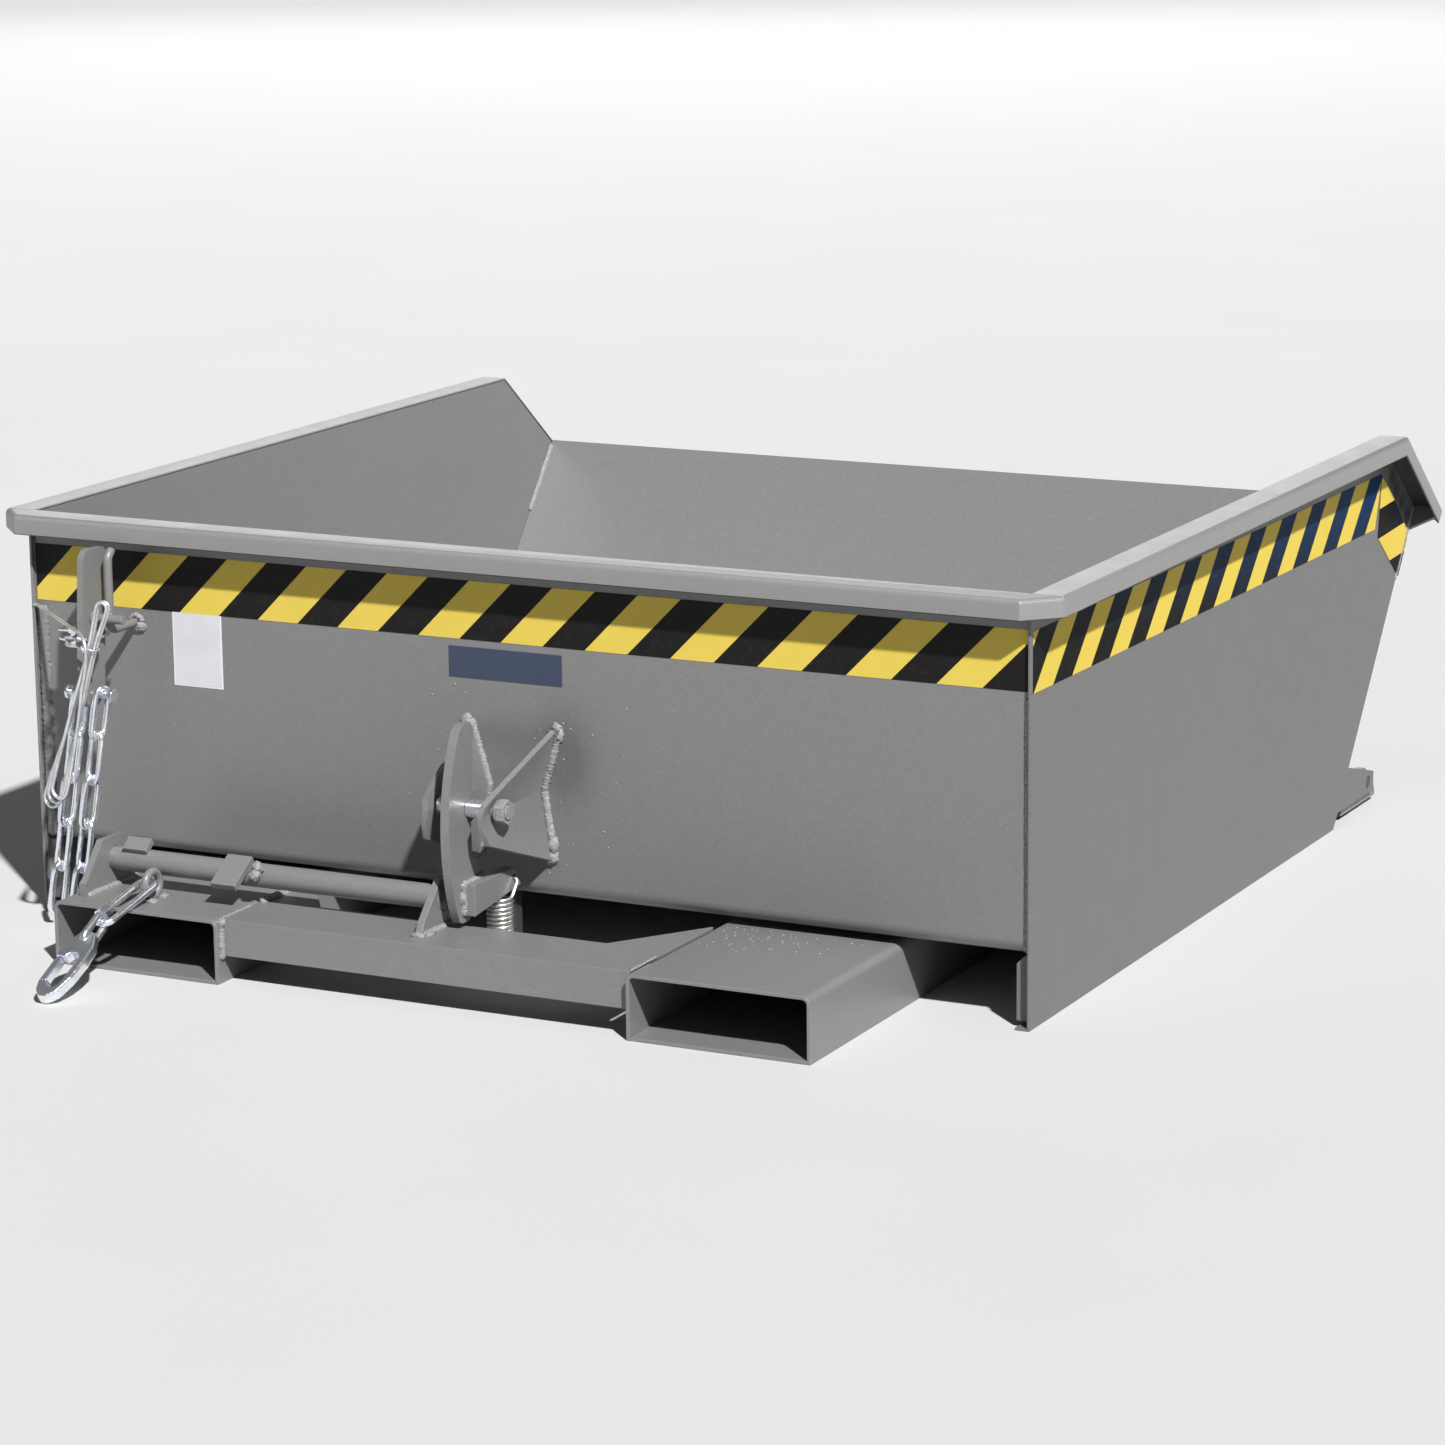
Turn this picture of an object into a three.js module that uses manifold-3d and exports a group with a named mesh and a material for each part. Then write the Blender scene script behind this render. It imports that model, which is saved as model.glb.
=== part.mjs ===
// Low forklift tipping skip: a base frame with two fork pockets carries a sheet steel tub
// that tips over a hinge at its pouring end. A hanging latch, a rope lever, a safety chain
// and a snap hook sit on the forklift side.
// Millimetres, +Z up, +X to the right as seen from the forklift, +Y towards the pouring end.
// While it is built, y = 0 is the outside of the wall that faces the forklift.
import * as THREE from "three";
import { mergeVertices } from "three/addons/utils/BufferGeometryUtils.js";
import Module from "manifold-3d";

const wasm = await Module();
wasm.setup();

// Tub
const tubWidth = 1200;
const tubSheet = 3;
const rimTop = 450;
const floorUnder = 78;
const wallBend = 16;
const chuteFootY = 975;
const lipY = 1190;
const lipZ = 348;
const rimLevelLength = 1063;
const noseOut = 6;
const skirtFootLength = 912;
const skirtRise = 17;
const skirtRiseRun = 16;
const tongueTopY = 978;
const tongueTopZ = 61;
const tongueTipY = 1056;
const tongueTipZ = 41;
const footFlangeWidth = 13;
const footCornerHeight = 76;
const footCornerCut = 9;
const footCornerWidth = 16;
const footCornerLift = 7;
const footCornerBack = 5;

// Rim
const rimOut = 34;
const rimSkirt = 22;
const rimSheet = 3;
const rimBend = 6;
const rimEndPastLip = 7;

// Pouring lip
const lipBarWidth = 36;
const lipBarThick = 5;
const lipEarWidth = 17;

// Runners under the tub
const runnerWidth = 50;
const runnerStart = 60;
const runnerEnd = 880;
const restGap = 0.3;
const seatGap = 0.3;

// Fork pockets
const pocketWidth = 206;
const pocketHeight = 70;
const pocketSheet = 4;
const pocketBend = 9;
const pocketCentreX = 346;
const pocketMouthOut = 202;
const pocketEndY = 930;

// Front cross member
const crossBack = 9;
const crossFaceHeight = 40;
const crossSheet = 4;
const crossTopDepth = 85;
const crossTopSpan = 344;
const crossGussetEndY = -5;

// Rear beam and hinge
const hingeY = 1036;
const hingeZ = 31;
const hingePinRadius = 7;
const hingeBossRadius = 17;
const hingeToeY = 1057;
const hingeToeRadius = 22;
const hingeBracketThick = 10;
const beamDepth = 60;
const beamHeight = 44;
const beamWall = 4;
const beamLift = 6;
const sideClearance = 3;
const turnGap = 0.5;
const bendSteps = 5;

// Interlock shaft
const shaftRadius = 13;
const shaftY = -118;
const shaftZ = 100;
const shaftBracketX = -433;
const shaftBracketThick = 8;
const shaftEndOut = 4;
const bracketReach = 58;
const bracketRise = 54;
const lugX = -22;
const lugThick = 8;
const lugReach = 50;
const lugRise = 52;
const tabWidth = 31;
const tabLength = 44;
const tabBack = 8;
const tabThick = 8;
const tabX = -262;
const tabTilt = 33;
const stopPlateWidth = 30;
const stopPlateLength = 17;
const stopPlateX = -392;
const stopTilt = 40;
const weldSink = 1;

// Chain eye and quick link
const eyeX = -357;
const eyeY = -150;
const eyeRadius = 14;
const eyeWire = 4.5;
const eyeSink = 3.5;
const linkWire = 4;
const linkLength = 100;
const linkWidth = 29;
const linkDrop = 15.3;
const linkYaw = -3.5;
const linkSeatOut = 2.5;
const linkSeatUp = 3.5;
const linkPlay = 2;
const linkNutStart = 57;
const linkNutLength = 22;
const linkNutFlats = 13;
const linkNutGap = 0.35;

// Snap hook
const hookLength = 118;
const hookThick = 12;
const hookWidth = 38;
const hookPlay = 0.7;
const hookDrop = 30.4;
const hookEyeWire = 4;
const hookEyeLength = 42;
const hookEyeWidth = 18;
const bowlStartShare = 0.42;
const bowlEndShare = 0.86;
const bowlHalf = 8;
const bowlShift = 2;
const gateWidth = 8;
const gateInset = 1;

// Latch
const latchX = 5;
const latchThick = 10;
const latchPinY = -105;
const latchPinZ = 196;
const latchPinRadius = 8;
const latchBossRadius = 17;
const latchReach = 120;
const latchArcY = 96;
const latchArcZ = 172;
const latchArcRadius = 243;
const toothFrontY = -120;
const toothTopZ = 118;
const toothLength = 98;
const toothThick = 14;
const toothHeight = 34;
const toothTailHeight = 22;
const toothTailCut = 14;
const hookHoleY = -36;
const hookHoleZ = 107;
const hookHoleRadius = 3.6;
const spacerRadius = 9.5;
const earPlate = 6;
const earReach = 131;
const earMidZ = 195;
const earMidSpread = 29;
const earTopZ = 265;
const earTopSpread = 50;
const earLowZ = 118;
const earLowSpread = 41;
const earSeatRise = 5.5;
const pinEndOut = 1.5;
const washerRadius = 13;
const washerThick = 3;
const nutFlats = 24;
const nutThick = 9;
const pinHeadFlats = 20;
const pinHeadLow = 4;

// Latch spring
const springRadius = 14;
const springWire = 2.1;
const springPitch = 4.9;
const springCurls = 10;
const springX = 14;
const springTopZ = 87;
const springHookOut = 8;
const springFootOut = 22;
const springSeat = 1.1;
const anchorX = -7;
const anchorThick = 6;
const anchorHoleY = -50;
const anchorHoleZ = 24;
const anchorPostY = 10;
const anchorPostWidth = 14;
const anchorEnd = 8;

// Release lever
const leverX = -482;
const leverThick = 8;
const leverDepth = 42;
const leverAbove = 76;
const leverBelow = 98;
const leverLean = 4;
const leverCorner = 14;
const leverNick = 4;
const leverPinZ = 350;
const leverPinRadius = 5;
const pinHeadThick = 4;
const bowX = -465;
const bowY = -52;
const bowRadius = 5;
const bowFootZ = 335;
const bowTopZ = 415;
const bowTipBack = 9;
const rodRightX = -440;
const chainPinDrop = 84;
const chainPinRadius = 4;

// Chain
const chainWire = 3.5;
const chainPitch = 52;
const chainWidth = 25;
const chainLinks = 4;
const strandOffset = 14;
const chainLean = 10;
const chainTwist = -20;
const chainPlay = 0.5;
const endHookLength = 66;
const endHookGap = 22;

// Pull rope
const ropeRadius = 2;
const ropeZ = 328;
const ropeStack = 4.5;
const clipY = -60;
const clipWire = 2.5;
const clipLegOut = 26;
const clipSpread = 5.2;
const clipSaddleThick = 6;
const clipSaddleLength = 12;
const clipNutFlats = 9;
const clipNutThick = 4;
const hankTopX = -435;
const hankTopZ = 378;
const hankBottomX = -514;
const hankBottomZ = 142;
const hankY = -99;
const hankTurns = 3;
const hankLayer = 4.8;
const hankTopRadius = 6;
const hankTieHalf = 2.8;
const hankBottomRadius = 10;
const hankTieDrop = 54;
const hankShorter = 9;
const hankFan = 6;
const tieWire = 0.9;
const tieAcross = 6.9;
const tieDeep = 8.1;
const tieLayer = 1.4;
const hankStartDrop = 85;
const hankEndDrop = 100;
const hankEndShare = 0.7;
const ropeReach = 100;
const tailEndY = -6;
const tailEndZ = 345;

const degree = Math.PI / 180;
const overrun = 1;

const paint = 0x85878a;
const zinc = 0xb9bfc8;
const wire = 0xc9cdd2;

const part = new THREE.Group();

function addMesh(name, geometry, colour, metalness = 0.1, roughness = 0.55) {
  const material = new THREE.MeshStandardMaterial({ color: colour, metalness, roughness });
  const mesh = new THREE.Mesh(geometry, material);
  mesh.name = name;
  part.add(mesh);
  return mesh;
}

// Solids

function toSolid(geometry) {
  const bare = geometry.clone();
  bare.deleteAttribute("normal");
  bare.deleteAttribute("uv");
  const merged = mergeVertices(bare);
  return new wasm.Manifold(new wasm.Mesh({
    numProp: 3,
    vertProperties: new Float32Array(merged.attributes.position.array),
    triVerts: new Uint32Array(merged.index.array),
  }));
}

function toGeometry(solid) {
  const mesh = solid.getMesh();
  const geometry = new THREE.BufferGeometry();
  geometry.setAttribute("position", new THREE.BufferAttribute(mesh.vertProperties, 3));
  geometry.setIndex(new THREE.BufferAttribute(mesh.triVerts, 1));
  geometry.computeVertexNormals();
  return geometry;
}

function join(...pieces) {
  return toGeometry(pieces.map(toSolid).reduce((whole, piece) => whole.add(piece)));
}

function cut(body, ...tools) {
  return toGeometry(tools.map(toSolid).reduce((whole, tool) => whole.subtract(tool), toSolid(body)));
}

function extrude(points, depth) {
  const shape = new THREE.Shape(points.map(([a, b]) => new THREE.Vector2(a, b)));
  return new THREE.ExtrudeGeometry(shape, { depth, bevelEnabled: false });
}

// An outline of (y, z) points, from x0 to x1
function plateX(points, x0, x1) {
  const turn = new THREE.Matrix4().makeBasis(
    new THREE.Vector3(0, 1, 0),
    new THREE.Vector3(0, 0, 1),
    new THREE.Vector3(1, 0, 0),
  );
  return extrude(points, x1 - x0).applyMatrix4(turn).translate(x0, 0, 0);
}

// An outline of (x, z) points, from y0 to y1
function plateY(points, y0, y1) {
  const turn = new THREE.Matrix4().makeBasis(
    new THREE.Vector3(1, 0, 0),
    new THREE.Vector3(0, 0, 1),
    new THREE.Vector3(0, -1, 0),
  );
  return extrude(points, y1 - y0).applyMatrix4(turn).translate(0, y1, 0);
}

// An outline of (x, y) points, from z0 to z1
function plateZ(points, z0, z1) {
  return extrude(points, z1 - z0).translate(0, 0, z0);
}

function box(x0, x1, y0, y1, z0, z1) {
  const geometry = new THREE.BoxGeometry(x1 - x0, y1 - y0, z1 - z0);
  return geometry.translate((x0 + x1) / 2, (y0 + y1) / 2, (z0 + z1) / 2);
}

function rodX(x0, x1, y, z, radius, sides = 24) {
  const geometry = new THREE.CylinderGeometry(radius, radius, x1 - x0, sides);
  return geometry.rotateZ(Math.PI / 2).translate((x0 + x1) / 2, y, z);
}

function hexX(x0, x1, y, z, flats) {
  return rodX(x0, x1, y, z, flats / Math.sqrt(3), 6);
}

function arc(y, z, radius, from, to, steps) {
  const points = [];
  for (let i = 0; i <= steps; i += 1) {
    const angle = (from + (to - from) * i / steps) * degree;
    points.push([y + radius * Math.cos(angle), z + radius * Math.sin(angle)]);
  }
  return points;
}

// A line moved sideways to its left by a distance, with mitred corners
function offsetLine(points, distance) {
  const moved = [];
  for (let i = 0; i < points.length; i += 1) {
    const here = new THREE.Vector2(...points[i]);
    const before = i > 0 ? new THREE.Vector2(...points[i - 1]) : null;
    const after = i < points.length - 1 ? new THREE.Vector2(...points[i + 1]) : null;
    const directions = [];
    if (before) directions.push(here.clone().sub(before).normalize());
    if (after) directions.push(after.clone().sub(here).normalize());
    const normals = directions.map((d) => new THREE.Vector2(-d.y, d.x));
    const mitre = normals[0].clone();
    if (normals.length === 2) mitre.add(normals[1]).normalize();
    mitre.multiplyScalar(distance / mitre.dot(normals[0]));
    moved.push([here.x + mitre.x, here.y + mitre.y]);
  }
  return moved;
}

// A line with its inner corners rounded to a radius
function roundedLine(points, radius) {
  const out = [points[0]];
  for (let i = 1; i < points.length - 1; i += 1) {
    const here = new THREE.Vector2(...points[i]);
    const toBefore = new THREE.Vector2(...points[i - 1]).sub(here).normalize();
    const toAfter = new THREE.Vector2(...points[i + 1]).sub(here).normalize();
    const half = Math.acos(THREE.MathUtils.clamp(toBefore.dot(toAfter), -1, 1)) / 2;
    const reach = radius / Math.tan(half);
    const start = here.clone().addScaledVector(toBefore, reach);
    const end = here.clone().addScaledVector(toAfter, reach);
    const middle = toBefore.clone().add(toAfter).normalize();
    const centre = here.clone().addScaledVector(middle, radius / Math.sin(half));
    const a0 = Math.atan2(start.y - centre.y, start.x - centre.x);
    let sweep = Math.atan2(end.y - centre.y, end.x - centre.x) - a0;
    if (sweep > Math.PI) sweep -= 2 * Math.PI;
    if (sweep < -Math.PI) sweep += 2 * Math.PI;
    for (let k = 0; k <= bendSteps; k += 1) {
      const a = a0 + sweep * k / bendSteps;
      out.push([centre.x + radius * Math.cos(a), centre.y + radius * Math.sin(a)]);
    }
  }
  out.push(points[points.length - 1]);
  return out;
}

// The cross-section of a folded sheet whose outer face follows the line
function foldedSheet(points, thickness, outerRadius) {
  const outer = roundedLine(points, outerRadius);
  const inner = roundedLine(offsetLine(points, thickness), outerRadius - thickness);
  return [...outer, ...inner.reverse()];
}

// A round bar through the points: open with flat ends, or closed into a ring
function bar(points, radius, sides, closed = false) {
  const count = points.length;
  const tangents = points.map((point, i) => {
    const before = closed ? points[(i + count - 1) % count] : points[Math.max(i - 1, 0)];
    const after = closed ? points[(i + 1) % count] : points[Math.min(i + 1, count - 1)];
    return after.clone().sub(before).normalize();
  });
  const helper = Math.abs(tangents[0].z) < 0.9 ? new THREE.Vector3(0, 0, 1) : new THREE.Vector3(1, 0, 0);
  let normal = helper.addScaledVector(tangents[0], -helper.dot(tangents[0])).normalize();
  const positions = [];
  for (let i = 0; i < count; i += 1) {
    normal = normal.clone().addScaledVector(tangents[i], -normal.dot(tangents[i])).normalize();
    const side = new THREE.Vector3().crossVectors(tangents[i], normal);
    for (let k = 0; k < sides; k += 1) {
      const angle = 2 * Math.PI * (k + 0.5) / sides;
      const point = points[i].clone();
      point.addScaledVector(normal, radius * Math.cos(angle));
      point.addScaledVector(side, radius * Math.sin(angle));
      positions.push(point.x, point.y, point.z);
    }
  }
  const faces = [];
  const spans = closed ? count : count - 1;
  for (let i = 0; i < spans; i += 1) {
    const a = i * sides;
    const b = ((i + 1) % count) * sides;
    for (let k = 0; k < sides; k += 1) {
      const next = (k + 1) % sides;
      faces.push(a + k, a + next, b + next, a + k, b + next, b + k);
    }
  }
  if (!closed) {
    const last = (count - 1) * sides;
    for (let k = 1; k < sides - 1; k += 1) {
      faces.push(0, k + 1, k);
      faces.push(last, last + k, last + k + 1);
    }
  }
  const geometry = new THREE.BufferGeometry();
  geometry.setAttribute("position", new THREE.Float32BufferAttribute(positions, 3));
  geometry.setIndex(faces);
  geometry.computeVertexNormals();
  return geometry;
}

// A long round link: its centre line in the plane of two directions, about a centre
function linkPoints(centre, along, across, length, width, steps) {
  const turn = width / 2;
  const straight = length / 2 - turn;
  const points = [];
  for (const end of [1, -1]) {
    for (let i = 0; i <= steps; i += 1) {
      const angle = (i / steps - 0.5) * Math.PI;
      const point = centre.clone();
      point.addScaledVector(along, end * (straight + turn * Math.cos(angle)));
      point.addScaledVector(across, end * turn * Math.sin(angle));
      points.push(point);
    }
  }
  return points;
}

// Tub

const halfTub = tubWidth / 2;
const wallInside = halfTub - tubSheet;
const troughLine = [
  [0, rimTop - rimSheet],
  [0, floorUnder],
  [chuteFootY, floorUnder],
  [lipY, lipZ],
];
const chuteLength = Math.hypot(lipY - chuteFootY, lipZ - floorUnder);
const chuteAlong = [(lipY - chuteFootY) / chuteLength, (lipZ - floorUnder) / chuteLength];
const rimSlope = (rimTop - lipZ) / (lipY - rimLevelLength);
const rimEndY = lipY + rimEndPastLip;
const rimEndZ = rimTop - (rimEndY - rimLevelLength) * rimSlope;
const rimLine = [[0, rimTop], [rimLevelLength, rimTop], [rimEndY, rimEndZ]];

// Where the line a-b meets the line c-d
function crossing([a, b], [c, d]) {
  const [u, v] = [[b[0] - a[0], b[1] - a[1]], [d[0] - c[0], d[1] - c[1]]];
  const share = ((c[0] - a[0]) * v[1] - (c[1] - a[1]) * v[0]) / (u[0] * v[1] - u[1] * v[0]);
  return [a[0] + share * u[0], a[1] + share * u[1]];
}

function troughSheet() {
  return plateX(foldedSheet(troughLine, tubSheet, wallBend), -wallInside, wallInside);
}

// A skirt to the ground, and behind it a tongue that holds the hinge
function sidePlateOutline() {
  const seat = offsetLine(rimLine, -rimSheet - seatGap);
  seat[1][1] = rimTop - rimSheet;
  const chute = [[chuteFootY, floorUnder], [lipY, lipZ]];
  const tongue = [[tongueTopY, tongueTopZ], [tongueTipY, tongueTipZ]];
  return [
    [-noseOut, 0],
    [skirtFootLength, 0],
    [skirtFootLength + skirtRiseRun, skirtRise],
    [tongueTipY, skirtRise],
    [tongueTipY, tongueTipZ],
    crossing(chute, tongue),
    crossing(chute, [seat[1], seat[2]]),
    seat[1],
    [-noseOut, rimTop - rimSheet],
  ];
}

function sidePlate(side) {
  const x0 = side > 0 ? wallInside : -halfTub;
  const plate = plateX(sidePlateOutline(), x0, x0 + tubSheet);
  const hole = rodX(x0 - overrun, x0 + tubSheet + overrun, hingeY, hingeZ, hingePinRadius + turnGap);
  return cut(join(plate, footFlange(side)), hole);
}

// The sheet turned inwards below a skirt: along the ground and up the near edge
function footFlange(side) {
  const outer = side * halfTub;
  const inner = side * (wallInside - footFlangeWidth);
  const foot = box(Math.min(outer, inner), Math.max(outer, inner), -noseOut, skirtFootLength, 0, tubSheet);
  const edge = side * (wallInside - footCornerWidth);
  const cornerOutline = [
    [outer, footCornerLift],
    [edge, footCornerLift],
    [edge, footCornerHeight - footCornerCut],
    [edge + side * footCornerCut, footCornerHeight],
    [outer, footCornerHeight],
  ];
  return join(foot, plateY(cornerOutline, footCornerBack, footCornerBack + tubSheet));
}

// The section of a rolled rim, as distances in from its outer face and down from its top
function rimSection(depth) {
  const outside = [];
  const inside = [];
  for (let i = 0; i <= bendSteps; i += 1) {
    const angle = (i / bendSteps) * 90 * degree;
    const [c, s] = [Math.cos(angle), Math.sin(angle)];
    outside.push([rimBend * (1 - s), rimBend * (1 - c)]);
    inside.push([rimBend - (rimBend - rimSheet) * s, rimBend - (rimBend - rimSheet) * c]);
  }
  return [[depth, 0], ...outside, [0, rimSkirt], [rimSheet, rimSkirt], ...inside.reverse(), [depth, rimSheet]];
}

// A section carried along stations: place gives the points at which one section point passes them
function carried(section, place) {
  const lines = section.map(([inward, down]) => place(inward, down));
  const sides = section.length;
  const stations = lines[0].length;
  const positions = [];
  for (let i = 0; i < stations; i += 1) {
    for (const line of lines) positions.push(...line[i]);
  }
  const faces = [];
  for (let i = 0; i < stations - 1; i += 1) {
    for (let k = 0; k < sides; k += 1) {
      const [a, b] = [i * sides + k, i * sides + (k + 1) % sides];
      faces.push(a, b, b + sides, a, b + sides, a + sides);
    }
  }
  const flat = section.map(([inward, down]) => new THREE.Vector2(inward, -down));
  const last = (stations - 1) * sides;
  for (const [a, b, c] of THREE.ShapeUtils.triangulateShape(flat, [])) {
    faces.push(a, c, b);
    faces.push(last + a, last + b, last + c);
  }
  const geometry = new THREE.BufferGeometry();
  geometry.setAttribute("position", new THREE.Float32BufferAttribute(positions, 3));
  geometry.setIndex(faces);
  return outwards(geometry);
}

// The same faces, turned to face out
function outwards(geometry) {
  const p = geometry.attributes.position;
  const index = geometry.index;
  const [a, b, c] = [new THREE.Vector3(), new THREE.Vector3(), new THREE.Vector3()];
  let volume = 0;
  for (let i = 0; i < index.count; i += 3) {
    a.fromBufferAttribute(p, index.getX(i));
    b.fromBufferAttribute(p, index.getX(i + 1));
    c.fromBufferAttribute(p, index.getX(i + 2));
    volume += a.dot(b.cross(c));
  }
  if (volume < 0) {
    for (let i = 0; i < index.count; i += 3) {
      const second = index.getX(i + 1);
      index.setX(i + 1, index.getX(i + 2));
      index.setX(i + 2, second);
    }
  }
  geometry.computeVertexNormals();
  return geometry;
}

function frontRim() {
  const outer = halfTub + rimOut;
  const edge = [[-outer, 0], [-halfTub, -rimOut], [halfTub, -rimOut], [outer, 0]];
  const wallLine = [[-outer, 0], [outer, 0]];
  const inset = (distance) => {
    const line = offsetLine(edge, distance);
    const ends = [crossing([line[0], line[1]], wallLine), crossing([line[2], line[3]], wallLine)];
    return [ends[0], line[1], line[2], ends[1]];
  };
  const rolled = carried(rimSection(2 * rimBend), (inward, down) => (
    inset(inward).map(([x, y]) => [x, y, rimTop - down])
  ));
  const flange = plateZ([
    ...inset(rimBend + rimSheet),
    [wallInside, 0],
    [wallInside, tubSheet],
    [-wallInside, tubSheet],
    [-wallInside, 0],
  ], rimTop - rimSheet, rimTop);
  return join(rolled, flange);
}

function sideRim(side) {
  const outer = halfTub + rimOut;
  return carried(rimSection(outer - wallInside), (inward, down) => (
    offsetLine(rimLine, -down).map(([y, z]) => [side * (outer - inward), y, z])
  ));
}

// A flat bar under the lip, with tapered ears that close the ends of the rims
function lipBar() {
  const [dy, dz] = chuteAlong;
  const earTip = halfTub + rimOut - rimSheet - seatGap;
  const earTop = rimSheet + seatGap;
  const round = rimBend - rimSheet;
  const half = [
    [wallInside, 0],
    [wallInside, earTop],
    [earTip - round, earTop],
    [earTip, earTop + round],
    [earTip, lipEarWidth],
    [halfTub, lipBarWidth],
  ];
  const mirrored = half.map(([x, drop]) => [-x, drop]).reverse();
  const plate = plateZ([...half, ...mirrored], seatGap, seatGap + lipBarThick);
  const down = new THREE.Vector3(0, -dy, -dz);
  return placed(plate, new THREE.Vector3(1, 0, 0), down, new THREE.Vector3(0, lipY, lipZ));
}

function runner(side) {
  const centre = side * pocketCentreX;
  return box(
    centre - runnerWidth / 2,
    centre + runnerWidth / 2,
    runnerStart,
    runnerEnd,
    pocketHeight + restGap,
    floorUnder,
  );
}

addMesh("trough_sheet", troughSheet(), paint);
for (const [label, side] of [["left", -1], ["right", 1]]) {
  addMesh(`side_plate_${label}`, sidePlate(side), paint);
  addMesh(`rim_${label}`, sideRim(side), paint);
  addMesh(`floor_runner_${label}`, runner(side), paint);
}
addMesh("rim_front", frontRim(), paint);
addMesh("pour_lip_bar", lipBar(), paint);

// Base frame

const crossFrontY = -pocketMouthOut + crossBack;
const pocketInnerX = pocketCentreX - pocketWidth / 2;

function forkPocket(side) {
  const half = pocketWidth / 2;
  const centre = side * pocketCentreX;
  const line = [
    [centre + half, 0],
    [centre + half, pocketHeight],
    [centre - half, pocketHeight],
    [centre - half, 0],
  ];
  return plateY(foldedSheet(line, pocketSheet, pocketBend), -pocketMouthOut, pocketEndY);
}

function pocketFloor(side) {
  const half = pocketWidth / 2 - pocketSheet;
  const centre = side * pocketCentreX;
  return box(centre - half, centre + half, -pocketMouthOut, pocketEndY, 0, pocketSheet);
}

function frontCrossMember() {
  const topBackY = crossFrontY + crossTopDepth;
  const halfSpan = crossTopSpan / 2;
  const top = plateZ([
    [-pocketInnerX, crossFrontY],
    [pocketInnerX, crossFrontY],
    [pocketInnerX, crossGussetEndY],
    [halfSpan, topBackY],
    [-halfSpan, topBackY],
    [-pocketInnerX, crossGussetEndY],
  ], pocketHeight - crossSheet, pocketHeight);
  const faceBottom = pocketHeight - crossFaceHeight;
  const face = box(-pocketInnerX, pocketInnerX, crossFrontY, crossFrontY + crossSheet, faceBottom, pocketHeight);
  return join(top, face);
}

const beamY1 = hingeY - hingeBossRadius - sideClearance;
const beamY0 = beamY1 - beamDepth;
const bracketOuterX = wallInside - sideClearance;

function rearBeam() {
  const half = bracketOuterX - hingeBracketThick;
  const outside = box(-half, half, beamY0, beamY1, beamLift, beamLift + beamHeight);
  const inside = box(
    -half - overrun,
    half + overrun,
    beamY0 + beamWall,
    beamY1 - beamWall,
    beamLift + beamWall,
    beamLift + beamHeight - beamWall,
  );
  return join(cut(outside, inside), beamTongue(-1), beamTongue(1));
}

// The stub that joins the rear beam to a pocket
function beamTongue(side) {
  const half = pocketWidth / 2 - pocketSheet;
  const centre = side * pocketCentreX;
  return box(centre - half, centre + half, pocketEndY, beamY0, beamLift, beamLift + beamHeight);
}

function hingeBracket(side) {
  const x0 = side > 0 ? bracketOuterX - hingeBracketThick : -bracketOuterX;
  const outline = [
    [beamY0, beamLift],
    ...arc(hingeToeY, beamLift, hingeToeRadius, 0, 90, 5),
    ...arc(hingeY, hingeZ, hingeBossRadius, 0, 90, 6),
    [beamY0, beamLift + beamHeight],
  ];
  return plateX(outline, x0, x0 + hingeBracketThick);
}

// The pin stands on the bracket and ends flush with the outer face of the side plate
function hingePin(side) {
  const shank = rodX(bracketOuterX, halfTub, hingeY, hingeZ, hingePinRadius);
  return side > 0 ? shank : shank.rotateZ(Math.PI).translate(0, 2 * hingeY, 0);
}

const bracketShares = [
  [-1, 0],
  [0.79, 0],
  [0.52, 0.41],
  [0.52, 0.89],
  [0.38, 1],
  [-0.38, 1],
  [-0.9, 0.33],
  [-1, 0.26],
];
const lugShares = [[-1, 0], [0.44, 0], [0.38, 0.81], [0.12, 1], [-0.12, 1], [-0.84, 0.27]];

// An outline from shares of a reach and a rise about a point
function shareOutline(shares, y, z, reach, rise) {
  return shares.map(([u, v]) => [y + u * reach, z + v * rise]);
}

function shaftBracket() {
  const outline = shareOutline(bracketShares, shaftY, pocketHeight, bracketReach, bracketRise);
  const plate = plateX(outline, shaftBracketX, shaftBracketX + shaftBracketThick);
  const hole = rodX(
    shaftBracketX - overrun,
    shaftBracketX + shaftBracketThick + overrun,
    shaftY,
    shaftZ,
    shaftRadius + turnGap,
  );
  return cut(plate, hole);
}

addMesh("front_cross_member", frontCrossMember(), paint);
addMesh("rear_beam", rearBeam(), paint);
for (const [label, side] of [["left", -1], ["right", 1]]) {
  addMesh(`fork_pocket_${label}`, forkPocket(side), paint);
  addMesh(`pocket_floor_${label}`, pocketFloor(side), paint);
  addMesh(`hinge_bracket_${label}`, hingeBracket(side), paint);
  addMesh(`hinge_pin_${label}`, hingePin(side), zinc, 0.8, 0.35);
}
addMesh("shaft_bracket", shaftBracket(), paint);

// Interlock shaft

function inShaftFrame(along, out, tilt) {
  const [c, s] = [Math.cos(tilt * degree), Math.sin(tilt * degree)];
  return [shaftY - along * c - out * s, shaftZ - along * s + out * c];
}

function shaftPlate(x, width, from, to, low, high, tilt) {
  const outline = [
    inShaftFrame(from, low, tilt),
    inShaftFrame(to, low, tilt),
    inShaftFrame(to, high, tilt),
    inShaftFrame(from, high, tilt),
  ];
  return plateX(outline, x - width / 2, x + width / 2);
}

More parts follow.
